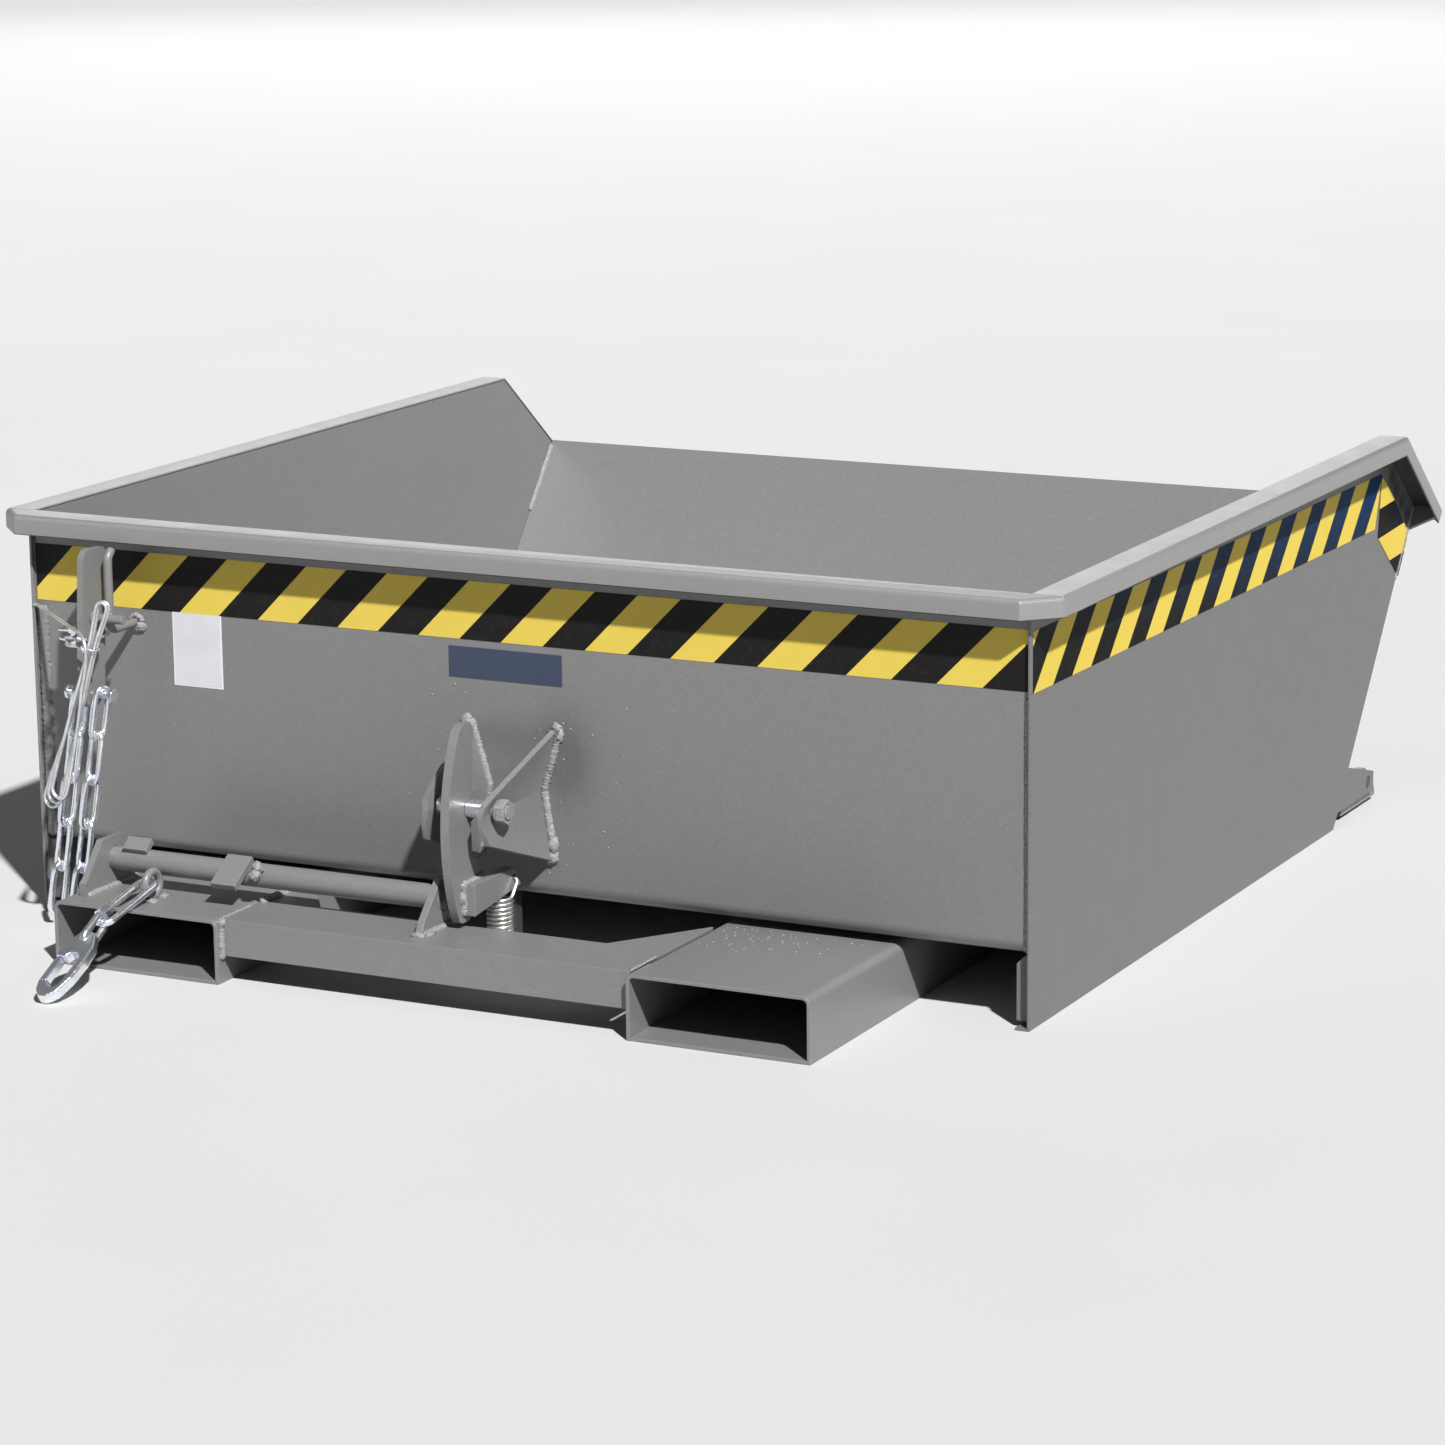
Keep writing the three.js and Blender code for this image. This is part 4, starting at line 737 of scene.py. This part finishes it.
def eye_route():
    """From the clip round the lever and back through the clip."""
    middle = LEVER_PIN_OUT + (LEVER_PIN_Z - ROPE_Z) * math.tan(LEVER_LEAN)
    left = LEVER_X - LEVER_HALF
    inner = left - 2 * TURN_GAP - 2 * CLIP_WIRE - ROPE_RADIUS
    outer = inner - ROPE_STACK
    front = middle + LEVER_DEPTH / 2 + 3 * ROPE_RADIUS
    back = middle - LEVER_DEPTH / 2 - 3 * ROPE_RADIUS
    side = LEVER_X + LEVER_HALF + ROPE_RADIUS + 2 * TURN_GAP
    lift = 2 * ROPE_RADIUS + TURN_GAP
    corners = [
        (outer, back + ROPE_STACK, 0),
        (outer, CLIP_OUT, 0),
        (outer, front - lift, lift / 3),
        (inner, front + lift / 2, lift),
        (LEVER_X, front + lift / 3, lift),
        (side, front - lift, lift / 2),
        (side, middle, 0),
        (side, back + lift, 0),
        (LEVER_X, back - lift / 3, 0),
        (inner, back + lift / 3, 0),
        (inner, CLIP_OUT, 0),
        (inner, front - lift, 0),
    ]
    return smooth_path([at(x, out, ROPE_Z + rise) for x, out, rise in corners], ROPE_SMOOTHING)


def lead_route(start):
    """From the eye across the lever and down to the hank."""
    return smooth_path([
        start,
        start - Vector((0, ROPE_RADIUS, 0)),
        *[at(*place) for place in LEAD],
        hank_start + hank_up * ROPE_RADIUS * 2,
        hank_start + hank_up * SEAT_GAP,
    ], ROPE_SMOOTHING)


def strand_radius(i, angle):
    """Round strands that wind along the rope."""
    wave = abs(math.cos(ROPE_STRANDS / 2 * (angle - i * ROPE_TURN)))
    return ROPE_RADIUS * (1 - STRAND_SHARE + STRAND_SHARE * wave)


def make_rope(name, route, body=None):
    """The stranded rope along a route, and the path that it follows."""
    path = spaced(route, ROPE_STEP)
    mesh = swept(name, path, ROPE_SIDES, strand_radius)
    return add_piece(name, mesh, rope_steel, body), path


def make_pull_rope():
    tail_end = Vector((SHEET + SEAT_GAP - HALF_TUB, WALL_Y - TAIL_END_OUT, TAIL_END_Z))
    hank, hank_path = make_rope("rope_hank", [*hank_route(), *tail_route(tail_end), tail_end], "tub")
    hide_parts("pull_rope_hank", "pull_rope_tail")

    eye = eye_route()
    upper, upper_path = make_rope("rope_lead", [*eye, *lead_route(eye[-1])[1:]])
    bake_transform(upper)
    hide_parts("pull_rope_eye", "pull_rope_lead")


make_pull_rope()

# Films on the sheet: hazard tape and labels

FILM_GAP = SEAT_GAP / 3


def film(name, corner, along, outline, material, thick, stripe_places=None):
    """A thin closed upright sheet, its outline in (along, up) from the corner."""
    count = len(outline)
    outward = along.cross(UP)
    points = []
    for lift in (0.0, thick):
        points += [corner + along * u + UP * v + outward * lift for u, v in outline]
    faces = [tuple(range(count - 1, -1, -1)), tuple(range(count, 2 * count))]
    faces += [(i, (i + 1) % count, count + (i + 1) % count, count + i) for i in range(count)]
    obj = add_piece(name, mesh_of(name, points, faces), material, "tub", smooth=False)
    layer = obj.data.uv_layers.new(name="film")
    places = stripe_places or outline
    for loop in obj.data.loops:
        layer.data[loop.index].uv = places[loop.vertex_index % count]


def rectangle(width, height):
    """An outline from its lower left corner."""
    return [(0, 0), (width, 0), (width, height), (0, height)]


# Hazard tape: the side tapes' outlines are in (along, up) from the wall, and their stripes have the
# fall of their own frame, the place where it starts and their phase along it

TAPE_THICK = 0.0003
TAPE_PERIOD = 0.1004
STRIPE_SHARE = 0.5
TAPE_LOW_Z = 0.350
TAPE_HEIGHT = 0.0635
TAPE_END_X = 0.5955
FRONT_TAPE_PHASE = 0.0867
SIDE_TAPE = ((0.0, 0.3485), (1.0410, 0.3396), (1.0634, 0.4030), (0.0, 0.4120))
SIDE_STRIPES = (math.atan2(SIDE_TAPE[1][1] - SIDE_TAPE[0][1], SIDE_TAPE[1][0]), SIDE_TAPE[0], 0.001)
NOSE_TAPE = (
    (1.0524, 0.3274),
    (1.1300, 0.2671),
    (1.1640, 0.3090),
    (1.1632, 0.3165),
    (1.1045, 0.3712),
    (1.0636, 0.3995),
)
NOSE_STRIPES = (math.radians(-42.5), (1.0598, 0.3262), 0.0)
YELLOW = (0.55, 0.425, 0.072)
YELLOW_FADE = (14.0, 4.0)
YELLOW_SHARES = (0.93, 1.05)
BLACK = (0.008, 0.0075, 0.0075)
# Painted sky light: the side tape's black stripes turn navy further along and higher up, into the
# rim's shade
SKY_NAVY = (0.002, 0.028, 0.09)
NAVY_START = -0.45
NAVY_PER_METRE_ALONG = 0.9
NAVY_PER_METRE_UP = 9.0
TAPE_DUST = ((120.0, 4.0, 0.7), (0.5, 0.8), 0.03)
TAPE_DUST_COLOUR = (0.25, 0.25, 0.25)
TAPE_GLOSS = (40.0, 2.0)
TAPE_ROUGH = 0.42
TAPE_GLOSS_SPREAD = 0.13
TAPE_CREASES = (26.0, 5.0, 0.6)
TAPE_CREASE_DEPTH = 0.0006
TAPE_GRAIN = (900.0, 1.0)
TAPE_GRAIN_DEPTH = 0.00004
FRONT_SPECULAR = 0.14
SIDE_SPECULAR = 0.03


def tape_material(name, sky_lit_black, specular):
    """Stripes at 45 degrees from the film's own coordinates, u along it and v up it, in metres."""
    material, tree, shader = new_material(name)
    place = add_node(tree, "ShaderNodeUVMap")
    parts = add_node(tree, "ShaderNodeSeparateXYZ")
    tree.links.new(place.outputs["UV"], parts.inputs["Vector"])
    along = parts.outputs["X"]
    up = parts.outputs["Y"]
    slant = calculate(tree, "SUBTRACT", along, up)
    share = calculate(tree, "FRACT", calculate(tree, "DIVIDE", slant, TAPE_PERIOD))
    stripe = calculate(tree, "LESS_THAN", share, STRIPE_SHARE)
    yellow = clouded(tree, YELLOW_FADE, YELLOW, *YELLOW_SHARES)
    # Painted sky light: black turns navy further along and higher up the tape
    bluer_along = calculate(tree, "MULTIPLY", along, NAVY_PER_METRE_ALONG)
    bluer_up = calculate(tree, "MULTIPLY", up, NAVY_PER_METRE_UP)
    bluer = calculate(tree, "ADD", calculate(tree, "ADD", bluer_along, NAVY_START), bluer_up)
    black = mix(tree, bluer, BLACK, sky_lit_black)
    dusty = mix(tree, marks(tree, *TAPE_DUST), black, TAPE_DUST_COLOUR)
    creases = relief(tree, TAPE_CREASES, TAPE_CREASE_DEPTH)
    grain = relief(tree, TAPE_GRAIN, TAPE_GRAIN_DEPTH, creases)
    gloss = spread(tree, TAPE_GLOSS, TAPE_ROUGH, TAPE_GLOSS_SPREAD)
    finish_surface(tree, shader, mix(tree, stripe, dusty, yellow), gloss, grain)
    shader.inputs["Specular IOR Level"].default_value = specular
    return material


def side_tape(name, side, outline, stripes, material, lift):
    """A tape on a side plate, lifted where it lies on another."""
    fall, origin, phase = stripes
    corner = Vector((side * (HALF_TUB + FILM_GAP + lift), WALL_Y, 0))
    stripe_places = []
    for u, v in outline:
        y = u - origin[0]
        z = v - origin[1]
        turned = (y * math.cos(fall) + z * math.sin(fall), z * math.cos(fall) - y * math.sin(fall))
        stripe_places.append((turned[0] - phase, turned[1]))
    film(
        name, corner, Vector((0, side, 0)), [(side * u, v) for u, v in outline][::side], material,
        TAPE_THICK, stripe_places[::side],
    )


def make_tapes():
    striped = tape_material("hazard_tape", BLACK, FRONT_SPECULAR)
    far = tape_material("hazard_tape_side", SKY_NAVY, SIDE_SPECULAR)
    outline = rectangle(2 * TAPE_END_X, TAPE_HEIGHT)
    film(
        "tape_front", at(-TAPE_END_X, FILM_GAP, TAPE_LOW_Z), RIGHT, outline, striped, TAPE_THICK,
        [(u - FRONT_TAPE_PHASE, v) for u, v in outline],
    )
    for (label, side), material in zip(SIDES, (striped, far)):
        side_tape(f"tape_{label}", side, SIDE_TAPE, SIDE_STRIPES, material, 0.0)
        side_tape(f"tape_nose_{label}", side, NOSE_TAPE, NOSE_STRIPES, material, TAPE_THICK)


make_tapes()

PLATE_X = -0.070
PLATE_Z = 0.309
PLATE_SIZE = (0.136, 0.033)
PLATE_THICK = 0.0008
PLATE_BLUE = (0.0264, 0.0396, 0.0754)
STICKER_X = -0.4168
STICKER_Z = 0.2700
STICKER_SIZE = (0.0600, 0.0800)
STICKER_THICK = 0.0002
STICKER_BORDER = 0.0016
STICKER_EDGE = (0.62, 0.62, 0.61)
STICKER_FACE = (0.5, 0.51, 0.545)
LABEL_FADE = (30.0, 3.0)
LABEL_SHARES = (0.9, 1.06)
LABEL_GLOSS = (60.0, 2.0)
LABEL_GLOSS_SPREAD = 0.15
LABEL_CREASES = (45.0, 3.0)
LABEL_CREASE_DEPTH = 0.0005


def label_material(name, colour, rough):
    """A bare label's uneven, slightly creased film."""
    material, tree, shader = new_material(name)
    tone = clouded(tree, LABEL_FADE, colour, *LABEL_SHARES)
    gloss = spread(tree, LABEL_GLOSS, rough, LABEL_GLOSS_SPREAD)
    finish_surface(tree, shader, tone, gloss, relief(tree, LABEL_CREASES, LABEL_CREASE_DEPTH))
    return material


def make_labels():
    plate = label_material("plate_blue", PLATE_BLUE, rough=0.35)
    corner = at(PLATE_X, FILM_GAP, PLATE_Z)
    film("blank_plate", corner, RIGHT, rectangle(*PLATE_SIZE), plate, PLATE_THICK)
    edge = label_material("sticker_edge", STICKER_EDGE, rough=0.3)
    corner = at(STICKER_X - STICKER_BORDER, FILM_GAP, STICKER_Z - STICKER_BORDER)
    border = rectangle(*(size + 2 * STICKER_BORDER for size in STICKER_SIZE))
    film("blank_sticker_edge", corner, RIGHT, border, edge, STICKER_THICK)
    face = label_material("sticker_face", STICKER_FACE, rough=0.4)
    corner = at(STICKER_X, SEAT_GAP, STICKER_Z)
    film("blank_sticker", corner, RIGHT, rectangle(*STICKER_SIZE), face, STICKER_THICK)


make_labels()

# Weld beads and heaps

BEAD_RIPPLE = 0.0035
BEAD_SIDES = 9
BEAD_STEP_SHARE = 0.3
BEAD_LUMPS = (0.8, 1.15)
BEAD_LOW_SHARE = 0.78
BEAD_RIPPLE_SHARE = 0.32
BEAD_END_SHARE = 0.55
BEAD_END_GROWTH = 0.25
HEAP_ROUGH = 0.45
HEAP_GRAIN = 2.1
HEAP_SHIFTS = (3.7, 5.3)
HEAP_FRACTAL = (1.0, 2.0, 3)


def bead_section(radius, count, ripples, seed):
    """Overlapping ripples of uneven width that taper at both ends."""
    dice = random.Random(seed)
    lumps = [[dice.uniform(*BEAD_LUMPS) for _ in range(BEAD_SIDES)] for _ in range(count)]

    def radius_at(i, angle):
        k = round(angle / (2 * math.pi) * BEAD_SIDES) % BEAD_SIDES
        ripple = BEAD_LOW_SHARE + BEAD_RIPPLE_SHARE * abs(math.sin(math.pi * i * ripples))
        taper = min(1.0, BEAD_END_SHARE + BEAD_END_GROWTH * min(i, count - 1 - i))
        return radius * ripple * taper * lumps[i][k]

    return radius_at


def weld(name, corners, radius, body, seed, ripple=BEAD_RIPPLE, material=enamel_weld):
    """A bead along the line through the corners."""
    step = radius * BEAD_STEP_SHARE
    path = spaced([Vector(corner) for corner in corners], step)
    section = bead_section(radius, len(path), step / ripple, seed)
    return add_piece(name, swept(name, path, BEAD_SIDES, section), material, body)


def heap(name, lumps, body, seed):
    """Heaped weld metal: overlapping lumps, each with its centre and half sizes."""
    shape = bmesh.new()
    for number, (centre, sizes) in enumerate(lumps):
        shift = Vector((seed * HEAP_SHIFTS[0], number * HEAP_SHIFTS[1], 0.0))
        for vertex in bmesh.ops.create_icosphere(shape, subdivisions=3, radius=1.0)["verts"]:
            rough = fractal.fractal(vertex.co * HEAP_GRAIN + shift, *HEAP_FRACTAL)
            reach = Vector(part * size for part, size in zip(vertex.co, sizes))
            vertex.co = Vector(centre) + reach * (1.0 + HEAP_ROUGH * rough)
    add_piece(name, mesh_from(name, shape), enamel_weld, body)


# Latch: ear seams are in (aside from the latch's middle, up); a lump on an ear has its seam's point,
# a share of the ear's thickness, how far out and up it lies, and its half sizes

LATCH_X = 0.005
EAR_SEAM = ((0.050, 0.265), (0.029, 0.195), (0.041, 0.118))
EAR_THICK = 0.008
EAR_BEAD = 0.0051
EAR_LUMPS = (
    (0, 0.5, 0.002, -0.001, (0.0065, 0.0045, 0.0065)),
    (0, 0.9, 0.001, -0.009, (0.005, 0.004, 0.008)),
    (2, 0.5, 0.002, 0.005, (0.0075, 0.0052, 0.008)),
    (2, 0.8, 0.002, 0.018, (0.006, 0.0045, 0.0095)),
)
BEAD = 0.0047
TOOTH_FACE_X = 0.010
TOOTH_TOP = 0.118
TOOTH_LOW = 0.084
TOOTH_FRONT = 0.120
TOOTH_SEAM_BACK = 0.078
TOOTH_LUMPS = (
    (-0.002, -0.003, (0.005, 0.006, 0.006)),
    (0.001, -0.016, (0.0045, 0.005, 0.008)),
)


def make_ear_welds(label, side):
    """A seam on both sides of an ear, and lumps at its ends at a share of its thickness."""
    seam = [at(LATCH_X + side * aside, 0.0, z) for aside, z in EAR_SEAM]
    across = Vector((side * EAR_THICK, 0, 0))
    weld(f"weld_ear_{label}_inner", seam, EAR_BEAD, "tub", seed=3 + side)
    weld(f"weld_ear_{label}_outer", [point + across for point in seam], EAR_BEAD, "tub", seed=7 + side)
    heap(f"weld_ear_{label}_ends", [
        (seam[end] + across * share + Vector((0, -out, up)), sizes)
        for end, share, out, up, sizes in EAR_LUMPS
    ], "tub", seed=11 + side)


def make_tooth_welds():
    """Seams along the tooth's top and front, and lumps placed from the corner between them."""
    lumps = [
        (at(TOOTH_FACE_X, TOOTH_FRONT + out, TOOTH_TOP + up), sizes) for out, up, sizes in TOOTH_LUMPS
    ]
    corner = lumps[0][0]
    back = at(TOOTH_FACE_X, TOOTH_SEAM_BACK, TOOTH_TOP)
    foot = at(TOOTH_FACE_X, TOOTH_FRONT, TOOTH_LOW)
    weld("weld_tooth_top", [corner, back], BEAD, "latch", seed=21)
    weld("weld_tooth_front", [corner, foot], BEAD, "latch", seed=22)
    heap("weld_tooth_corner", lumps, "latch", seed=23)


for side_name, side_sign in SIDES:
    make_ear_welds(side_name, side_sign)
make_tooth_welds()

# Base frame: lumps at a foot have shares of its node's width and depth, and an offset; the seam on the
# left pocket is in (aside from the pocket's edge, out)

FOOT_BEAD = 0.0042
LUG_LUMPS = (
    ((0.5, 0.0), (0.0, 0.001), (0.008, 0.005, 0.005)),
    ((1.0, 0.0), (0.003, 0.012), (0.006, 0.009, 0.004)),
)
CHAIN_EYE_LUMPS = (
    ((1.0, 0.0), (0.003, 0.006), (0.007, 0.0065, 0.0035)),
    ((1.0, 1.0), (0.003, -0.007), (0.007, 0.0065, 0.0035)),
)
POCKET_SEAM = ((0.003, 0.118), (0.006, 0.056))
POCKET_BEAD = 0.0048
CROSS_SEAM_INSET = 0.003
CROSS_SEAM_BELOW = 0.004
CROSS_SEAM_END = 0.060
CROSS_TOP_BEAD = 0.0016
POCKET_LUMP = ((0.001, -0.001, -0.004), (0.0055, 0.0045, 0.005))

pocket_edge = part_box("fork_pocket_left")[1].x
pocket_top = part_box("fork_pocket_left")[1].z


def weld_foot(name, node, seed):
    """A bead along both long sides of a plate's foot on the left pocket."""
    low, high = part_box(node)
    for number, (label, x) in enumerate((("left", low.x), ("right", high.x))):
        seam = [(x, low.y + FOOT_BEAD, pocket_top), (x, high.y - FOOT_BEAD, pocket_top)]
        weld(f"{name}_{label}", seam, FOOT_BEAD, "base_frame", seed + number)


def heap_at_foot(name, node, lumps, seed):
    """Lumps around the foot of a node that stands on the left pocket."""
    low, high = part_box(node)
    heap(name, [
        (Vector((
            low.x + (high.x - low.x) * shares[0] + offset[0],
            low.y + (high.y - low.y) * shares[1] + offset[1],
            pocket_top,
        )), sizes)
        for shares, offset, sizes in lumps
    ], "base_frame", seed)


def make_cross_welds():
    """The front cross member's seams: on its front at the left end, on its top at both ends."""
    low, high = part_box("front_cross_member")
    face = [(low.x, low.y, pocket_top - CROSS_SEAM_INSET), (low.x, low.y, low.z - CROSS_SEAM_BELOW)]
    weld("weld_cross_left_face", face, BEAD, "base_frame", seed=51)
    for label, x in (("left", low.x), ("right", high.x)):
        seam = [(x, low.y + along, pocket_top) for along in (CROSS_SEAM_INSET, CROSS_SEAM_END)]
        weld(f"weld_cross_{label}_top", seam, CROSS_TOP_BEAD, "base_frame", seed=53)
    offset, sizes = POCKET_LUMP
    corner = Vector((pocket_edge, low.y, pocket_top)) + Vector(offset)
    heap("weld_pocket_corner", [(corner, sizes)], "base_frame", seed=55)


weld_foot("weld_shaft_bracket", "shaft_bracket", seed=31)
weld_foot("weld_shaft_lug", "shaft_lug", seed=33)
heap_at_foot("weld_lug_front", "shaft_lug", LUG_LUMPS, seed=35)
heap_at_foot("weld_chain_eye", "chain_eye", CHAIN_EYE_LUMPS, seed=41)
weld(
    "weld_pocket_left", [at(pocket_edge + aside, out, pocket_top) for aside, out in POCKET_SEAM],
    POCKET_BEAD, "base_frame", seed=45,
)
make_cross_welds()

# Shaft and lever

TAB_WELD = (-0.2345, 0.132, 0.1125)
TAB_LUMPS = (
    ((0.0, 0.0, 0.0), (0.0065, 0.006, 0.006)),
    ((0.001, -0.007, -0.007), (0.006, 0.006, 0.006)),
)
BAR_FOOT = (-0.465, 0.001, 0.335)
BAR_FOOT_RADIUS = 0.0075
BAR_FOOT_STEPS = 14
BAR_FOOT_BEAD = 0.0034
BAR_FOOT_LUMP = ((0.004, 0.0, -0.005), (0.008, 0.004, 0.006))
ROD_SEAM = ((0.011, -0.006), (0.014, 0.006))
ROD_SEAM_GAP = 0.001
ROD_BEAD = 0.0028


def make_shaft_weld():
    """The lump beside the tab that stands out from the shaft."""
    centre = at(*TAB_WELD)
    lumps = [(centre + Vector(offset), sizes) for offset, sizes in TAB_LUMPS]
    heap("weld_shaft_tab", lumps, "interlock_shaft", seed=57)


def make_bar_welds():
    """A ring around the lever bar's foot on the wall, with a lump on it."""
    centre = at(*BAR_FOOT)
    ring = []
    for k in range(BAR_FOOT_STEPS + 1):
        angle = 2 * math.pi * k / BAR_FOOT_STEPS
        ring.append(centre + (RIGHT * math.cos(angle) + UP * math.sin(angle)) * BAR_FOOT_RADIUS)
    weld("weld_lever_bar_foot", ring, BAR_FOOT_BEAD, "tub", seed=61)
    offset, sizes = BAR_FOOT_LUMP
    heap("weld_lever_bar_blob", [(centre + Vector(offset), sizes)], "tub", seed=62)


def make_rod_weld():
    """A short bead between the lever's rod and its bar."""
    low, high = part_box("lever_rod")
    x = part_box("lever_bar")[1].x + ROD_SEAM_GAP
    middle_z = (low.z + high.z) / 2
    seam = [(x, low.y + along, middle_z + up) for along, up in ROD_SEAM]
    weld("weld_lever_rod", seam, ROD_BEAD, "tub", seed=63)


make_shaft_weld()
make_bar_welds()
make_rod_weld()

# Tub: the chute's seams on both side plates, and the corners between the wall and the side plates

FLOOR_Z = 0.081
CHUTE_FOOT = 0.975
LIP = (1.190, 0.348)
CHUTE_SLOPE = (LIP[1] - FLOOR_Z) / (LIP[0] - CHUTE_FOOT)
CHUTE_SEAM = (1.120, 1.184)
CHUTE_SEAM_LIFT = 0.003
CORNER_SEAM_DROP = 0.006
CORNER_BEAD = 0.0032
WIDE_SEAM = 0.0078
WIDE_SEAM_INSET_SHARE = 0.8
WIDE_SEAM_RIPPLE = 0.0062
WIDE_SEAM_FLATNESS = 0.4


def make_chute_weld(label, side):
    """The upper end of the seam between the sloped chute and a side plate."""
    x = side * (HALF_TUB - SHEET)
    foot_z = FLOOR_Z + CHUTE_SEAM_LIFT
    seam = [(x, WALL_Y + along, foot_z + CHUTE_SLOPE * (along - CHUTE_FOOT)) for along in CHUTE_SEAM]
    weld(f"weld_chute_{label}", seam, BEAD, "tub", seed=71)


def corner_line(side, inset):
    """The upright corner between the wall and a side plate, inset from the plate."""
    x = side * (HALF_TUB - SHEET - CORNER_BEAD / 2 - inset)
    return [at(x, 0.0, z) for z in (FLOOR_Z, TAPE_LOW_Z - CORNER_SEAM_DROP)]


def make_wide_corner_weld():
    """The left corner's seam is wide and flat, and its enamel is smooth."""
    line = corner_line(-1, WIDE_SEAM * WIDE_SEAM_INSET_SHARE)
    seam = weld(
        "weld_corner_left", line, WIDE_SEAM, "tub", seed=73, ripple=WIDE_SEAM_RIPPLE,
        material=enamel_grey,
    )
    for vertex in seam.data.vertices:
        vertex.co.y = WALL_Y + (vertex.co.y - WALL_Y) * WIDE_SEAM_FLATNESS


make_chute_weld("left", -1)
make_wide_corner_weld()
make_chute_weld("right", 1)
weld("weld_corner_right", corner_line(1, 0.0), CORNER_BEAD, "tub", seed=73)

# Spatter: ranges are (aside from the latch's middle, up) on the wall and (x, out) on the right pocket

SPATTER_SEED = 5
WALL_SPATTER = ((0.012, 0.155), (0.105, 0.300))
WALL_SPATTER_PEAK = 0.06
WALL_DROPS = 46
POCKET_SPATTER = ((0.250, 0.425), (-0.008, 0.090))
POCKET_SPATTER_PEAKS = (0.27, 0.0)
POCKET_DROPS = 60
DROP_SIZES = (0.0007, 0.0015)
DROP_FLATNESS = 0.6


def spatter(name, drops, shares, body):
    """Small frozen drops, each with its centre and its size, flattened by the shares."""
    shape = bmesh.new()
    for centre, size in drops:
        scale = Matrix.Diagonal((*(size * share for share in shares), 1.0))
        place = Matrix.Translation(centre) @ scale
        bmesh.ops.create_icosphere(shape, subdivisions=2, radius=1.0, matrix=place)
    add_piece(name, mesh_from(name, shape), enamel_weld, body)


def make_spatter():
    """Drops on the wall around the ears, and on the right pocket near the wall."""
    dice = random.Random(SPATTER_SEED)
    on_wall = []
    for _ in range(WALL_DROPS):
        x = dice.choice((-1, 1)) * dice.triangular(*WALL_SPATTER[0], WALL_SPATTER_PEAK)
        z = dice.uniform(*WALL_SPATTER[1])
        on_wall.append((at(LATCH_X + x, 0.0, z), dice.uniform(*DROP_SIZES)))
    spatter("spatter", on_wall, (1.0, DROP_FLATNESS, 1.0), "tub")
    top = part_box("fork_pocket_right")[1].z
    on_pocket = []
    for _ in range(POCKET_DROPS):
        x, out = (
            dice.triangular(*span, peak) for span, peak in zip(POCKET_SPATTER, POCKET_SPATTER_PEAKS)
        )
        on_pocket.append((at(x, out, top), dice.uniform(*DROP_SIZES)))
    spatter("spatter_pocket", on_pocket, (1.0, 1.0, DROP_FLATNESS), "base_frame")


make_spatter()

# Floor and light

FLOOR_SIZE = 160.0
FLOOR_CLOUDS = (2.0, 2.0)
FLOOR_TONES = ((0.465, 0.465, 0.47), (0.485, 0.485, 0.49))
FLOOR_ROUGH = 0.9
SUN_AZIMUTH = math.radians(47.6)
SUN_HEIGHT = math.radians(45.1)
SUN_STRENGTH = 7.0
SUN_WIDTH = math.radians(2.0)
SUN_COLOUR = (1.0, 0.985, 0.96)
SKY = (0.93, 0.96, 1.0)
SKY_LEVELS = ((0.0, 0.1), (0.5, 0.34), (0.62, 0.16), (1.0, 0.09))
PANEL_SIZE = (8.0, 5.0)
PANEL_PLACE = (-6.0, 12.0, 4.2)
PANEL_POWER = 230.0


def make_floor():
    half = FLOOR_SIZE / 2
    corners = [(x - half, y - half, GROUND_Z) for x, y in rectangle(FLOOR_SIZE, FLOOR_SIZE)]
    mesh = mesh_of("floor", corners, [(0, 1, 2, 3)])
    material, tree, shader = new_material("pale_floor")
    tree.links.new(mix(tree, noise(tree, *FLOOR_CLOUDS), *FLOOR_TONES), shader.inputs["Base Color"])
    shader.inputs["Roughness"].default_value = FLOOR_ROUGH
    mesh.materials.append(material)
    add_object("floor", mesh)


def make_sun():
    data = bpy.data.lights.new("sun", "SUN")
    data.energy = SUN_STRENGTH
    data.angle = SUN_WIDTH
    data.color = SUN_COLOUR
    sun = add_object("sun", data)
    level = math.cos(SUN_HEIGHT)
    aside = level * math.sin(SUN_AZIMUTH)
    towards = Vector((aside, -level * math.cos(SUN_AZIMUTH), math.sin(SUN_HEIGHT)))
    sun.rotation_euler = towards.to_track_quat("Z", "Y").to_euler()


def make_panel():
    """A wide soft panel behind the object, which the rims' tops mirror."""
    data = bpy.data.lights.new("panel", "AREA")
    data.shape = "RECTANGLE"
    data.size, data.size_y = PANEL_SIZE
    data.energy = PANEL_POWER
    panel = add_object("panel", data)
    panel.location = PANEL_PLACE
    panel.rotation_euler = Vector(PANEL_PLACE).to_track_quat("Z", "Y").to_euler()


def make_sky():
    world = bpy.data.worlds.new("sky")
    world.use_nodes = True
    tree = world.node_tree
    place = add_node(tree, "ShaderNodeTexCoord")
    stops = [(height, shade(SKY, level)) for height, level in SKY_LEVELS]
    colour = by_height(tree, place.outputs["Generated"], stops)
    tree.links.new(colour, tree.nodes["Background"].inputs["Color"])
    bpy.context.scene.world = world


make_floor()
make_sun()
make_panel()
make_sky()
bpy.context.scene.view_settings.view_transform = "Standard"
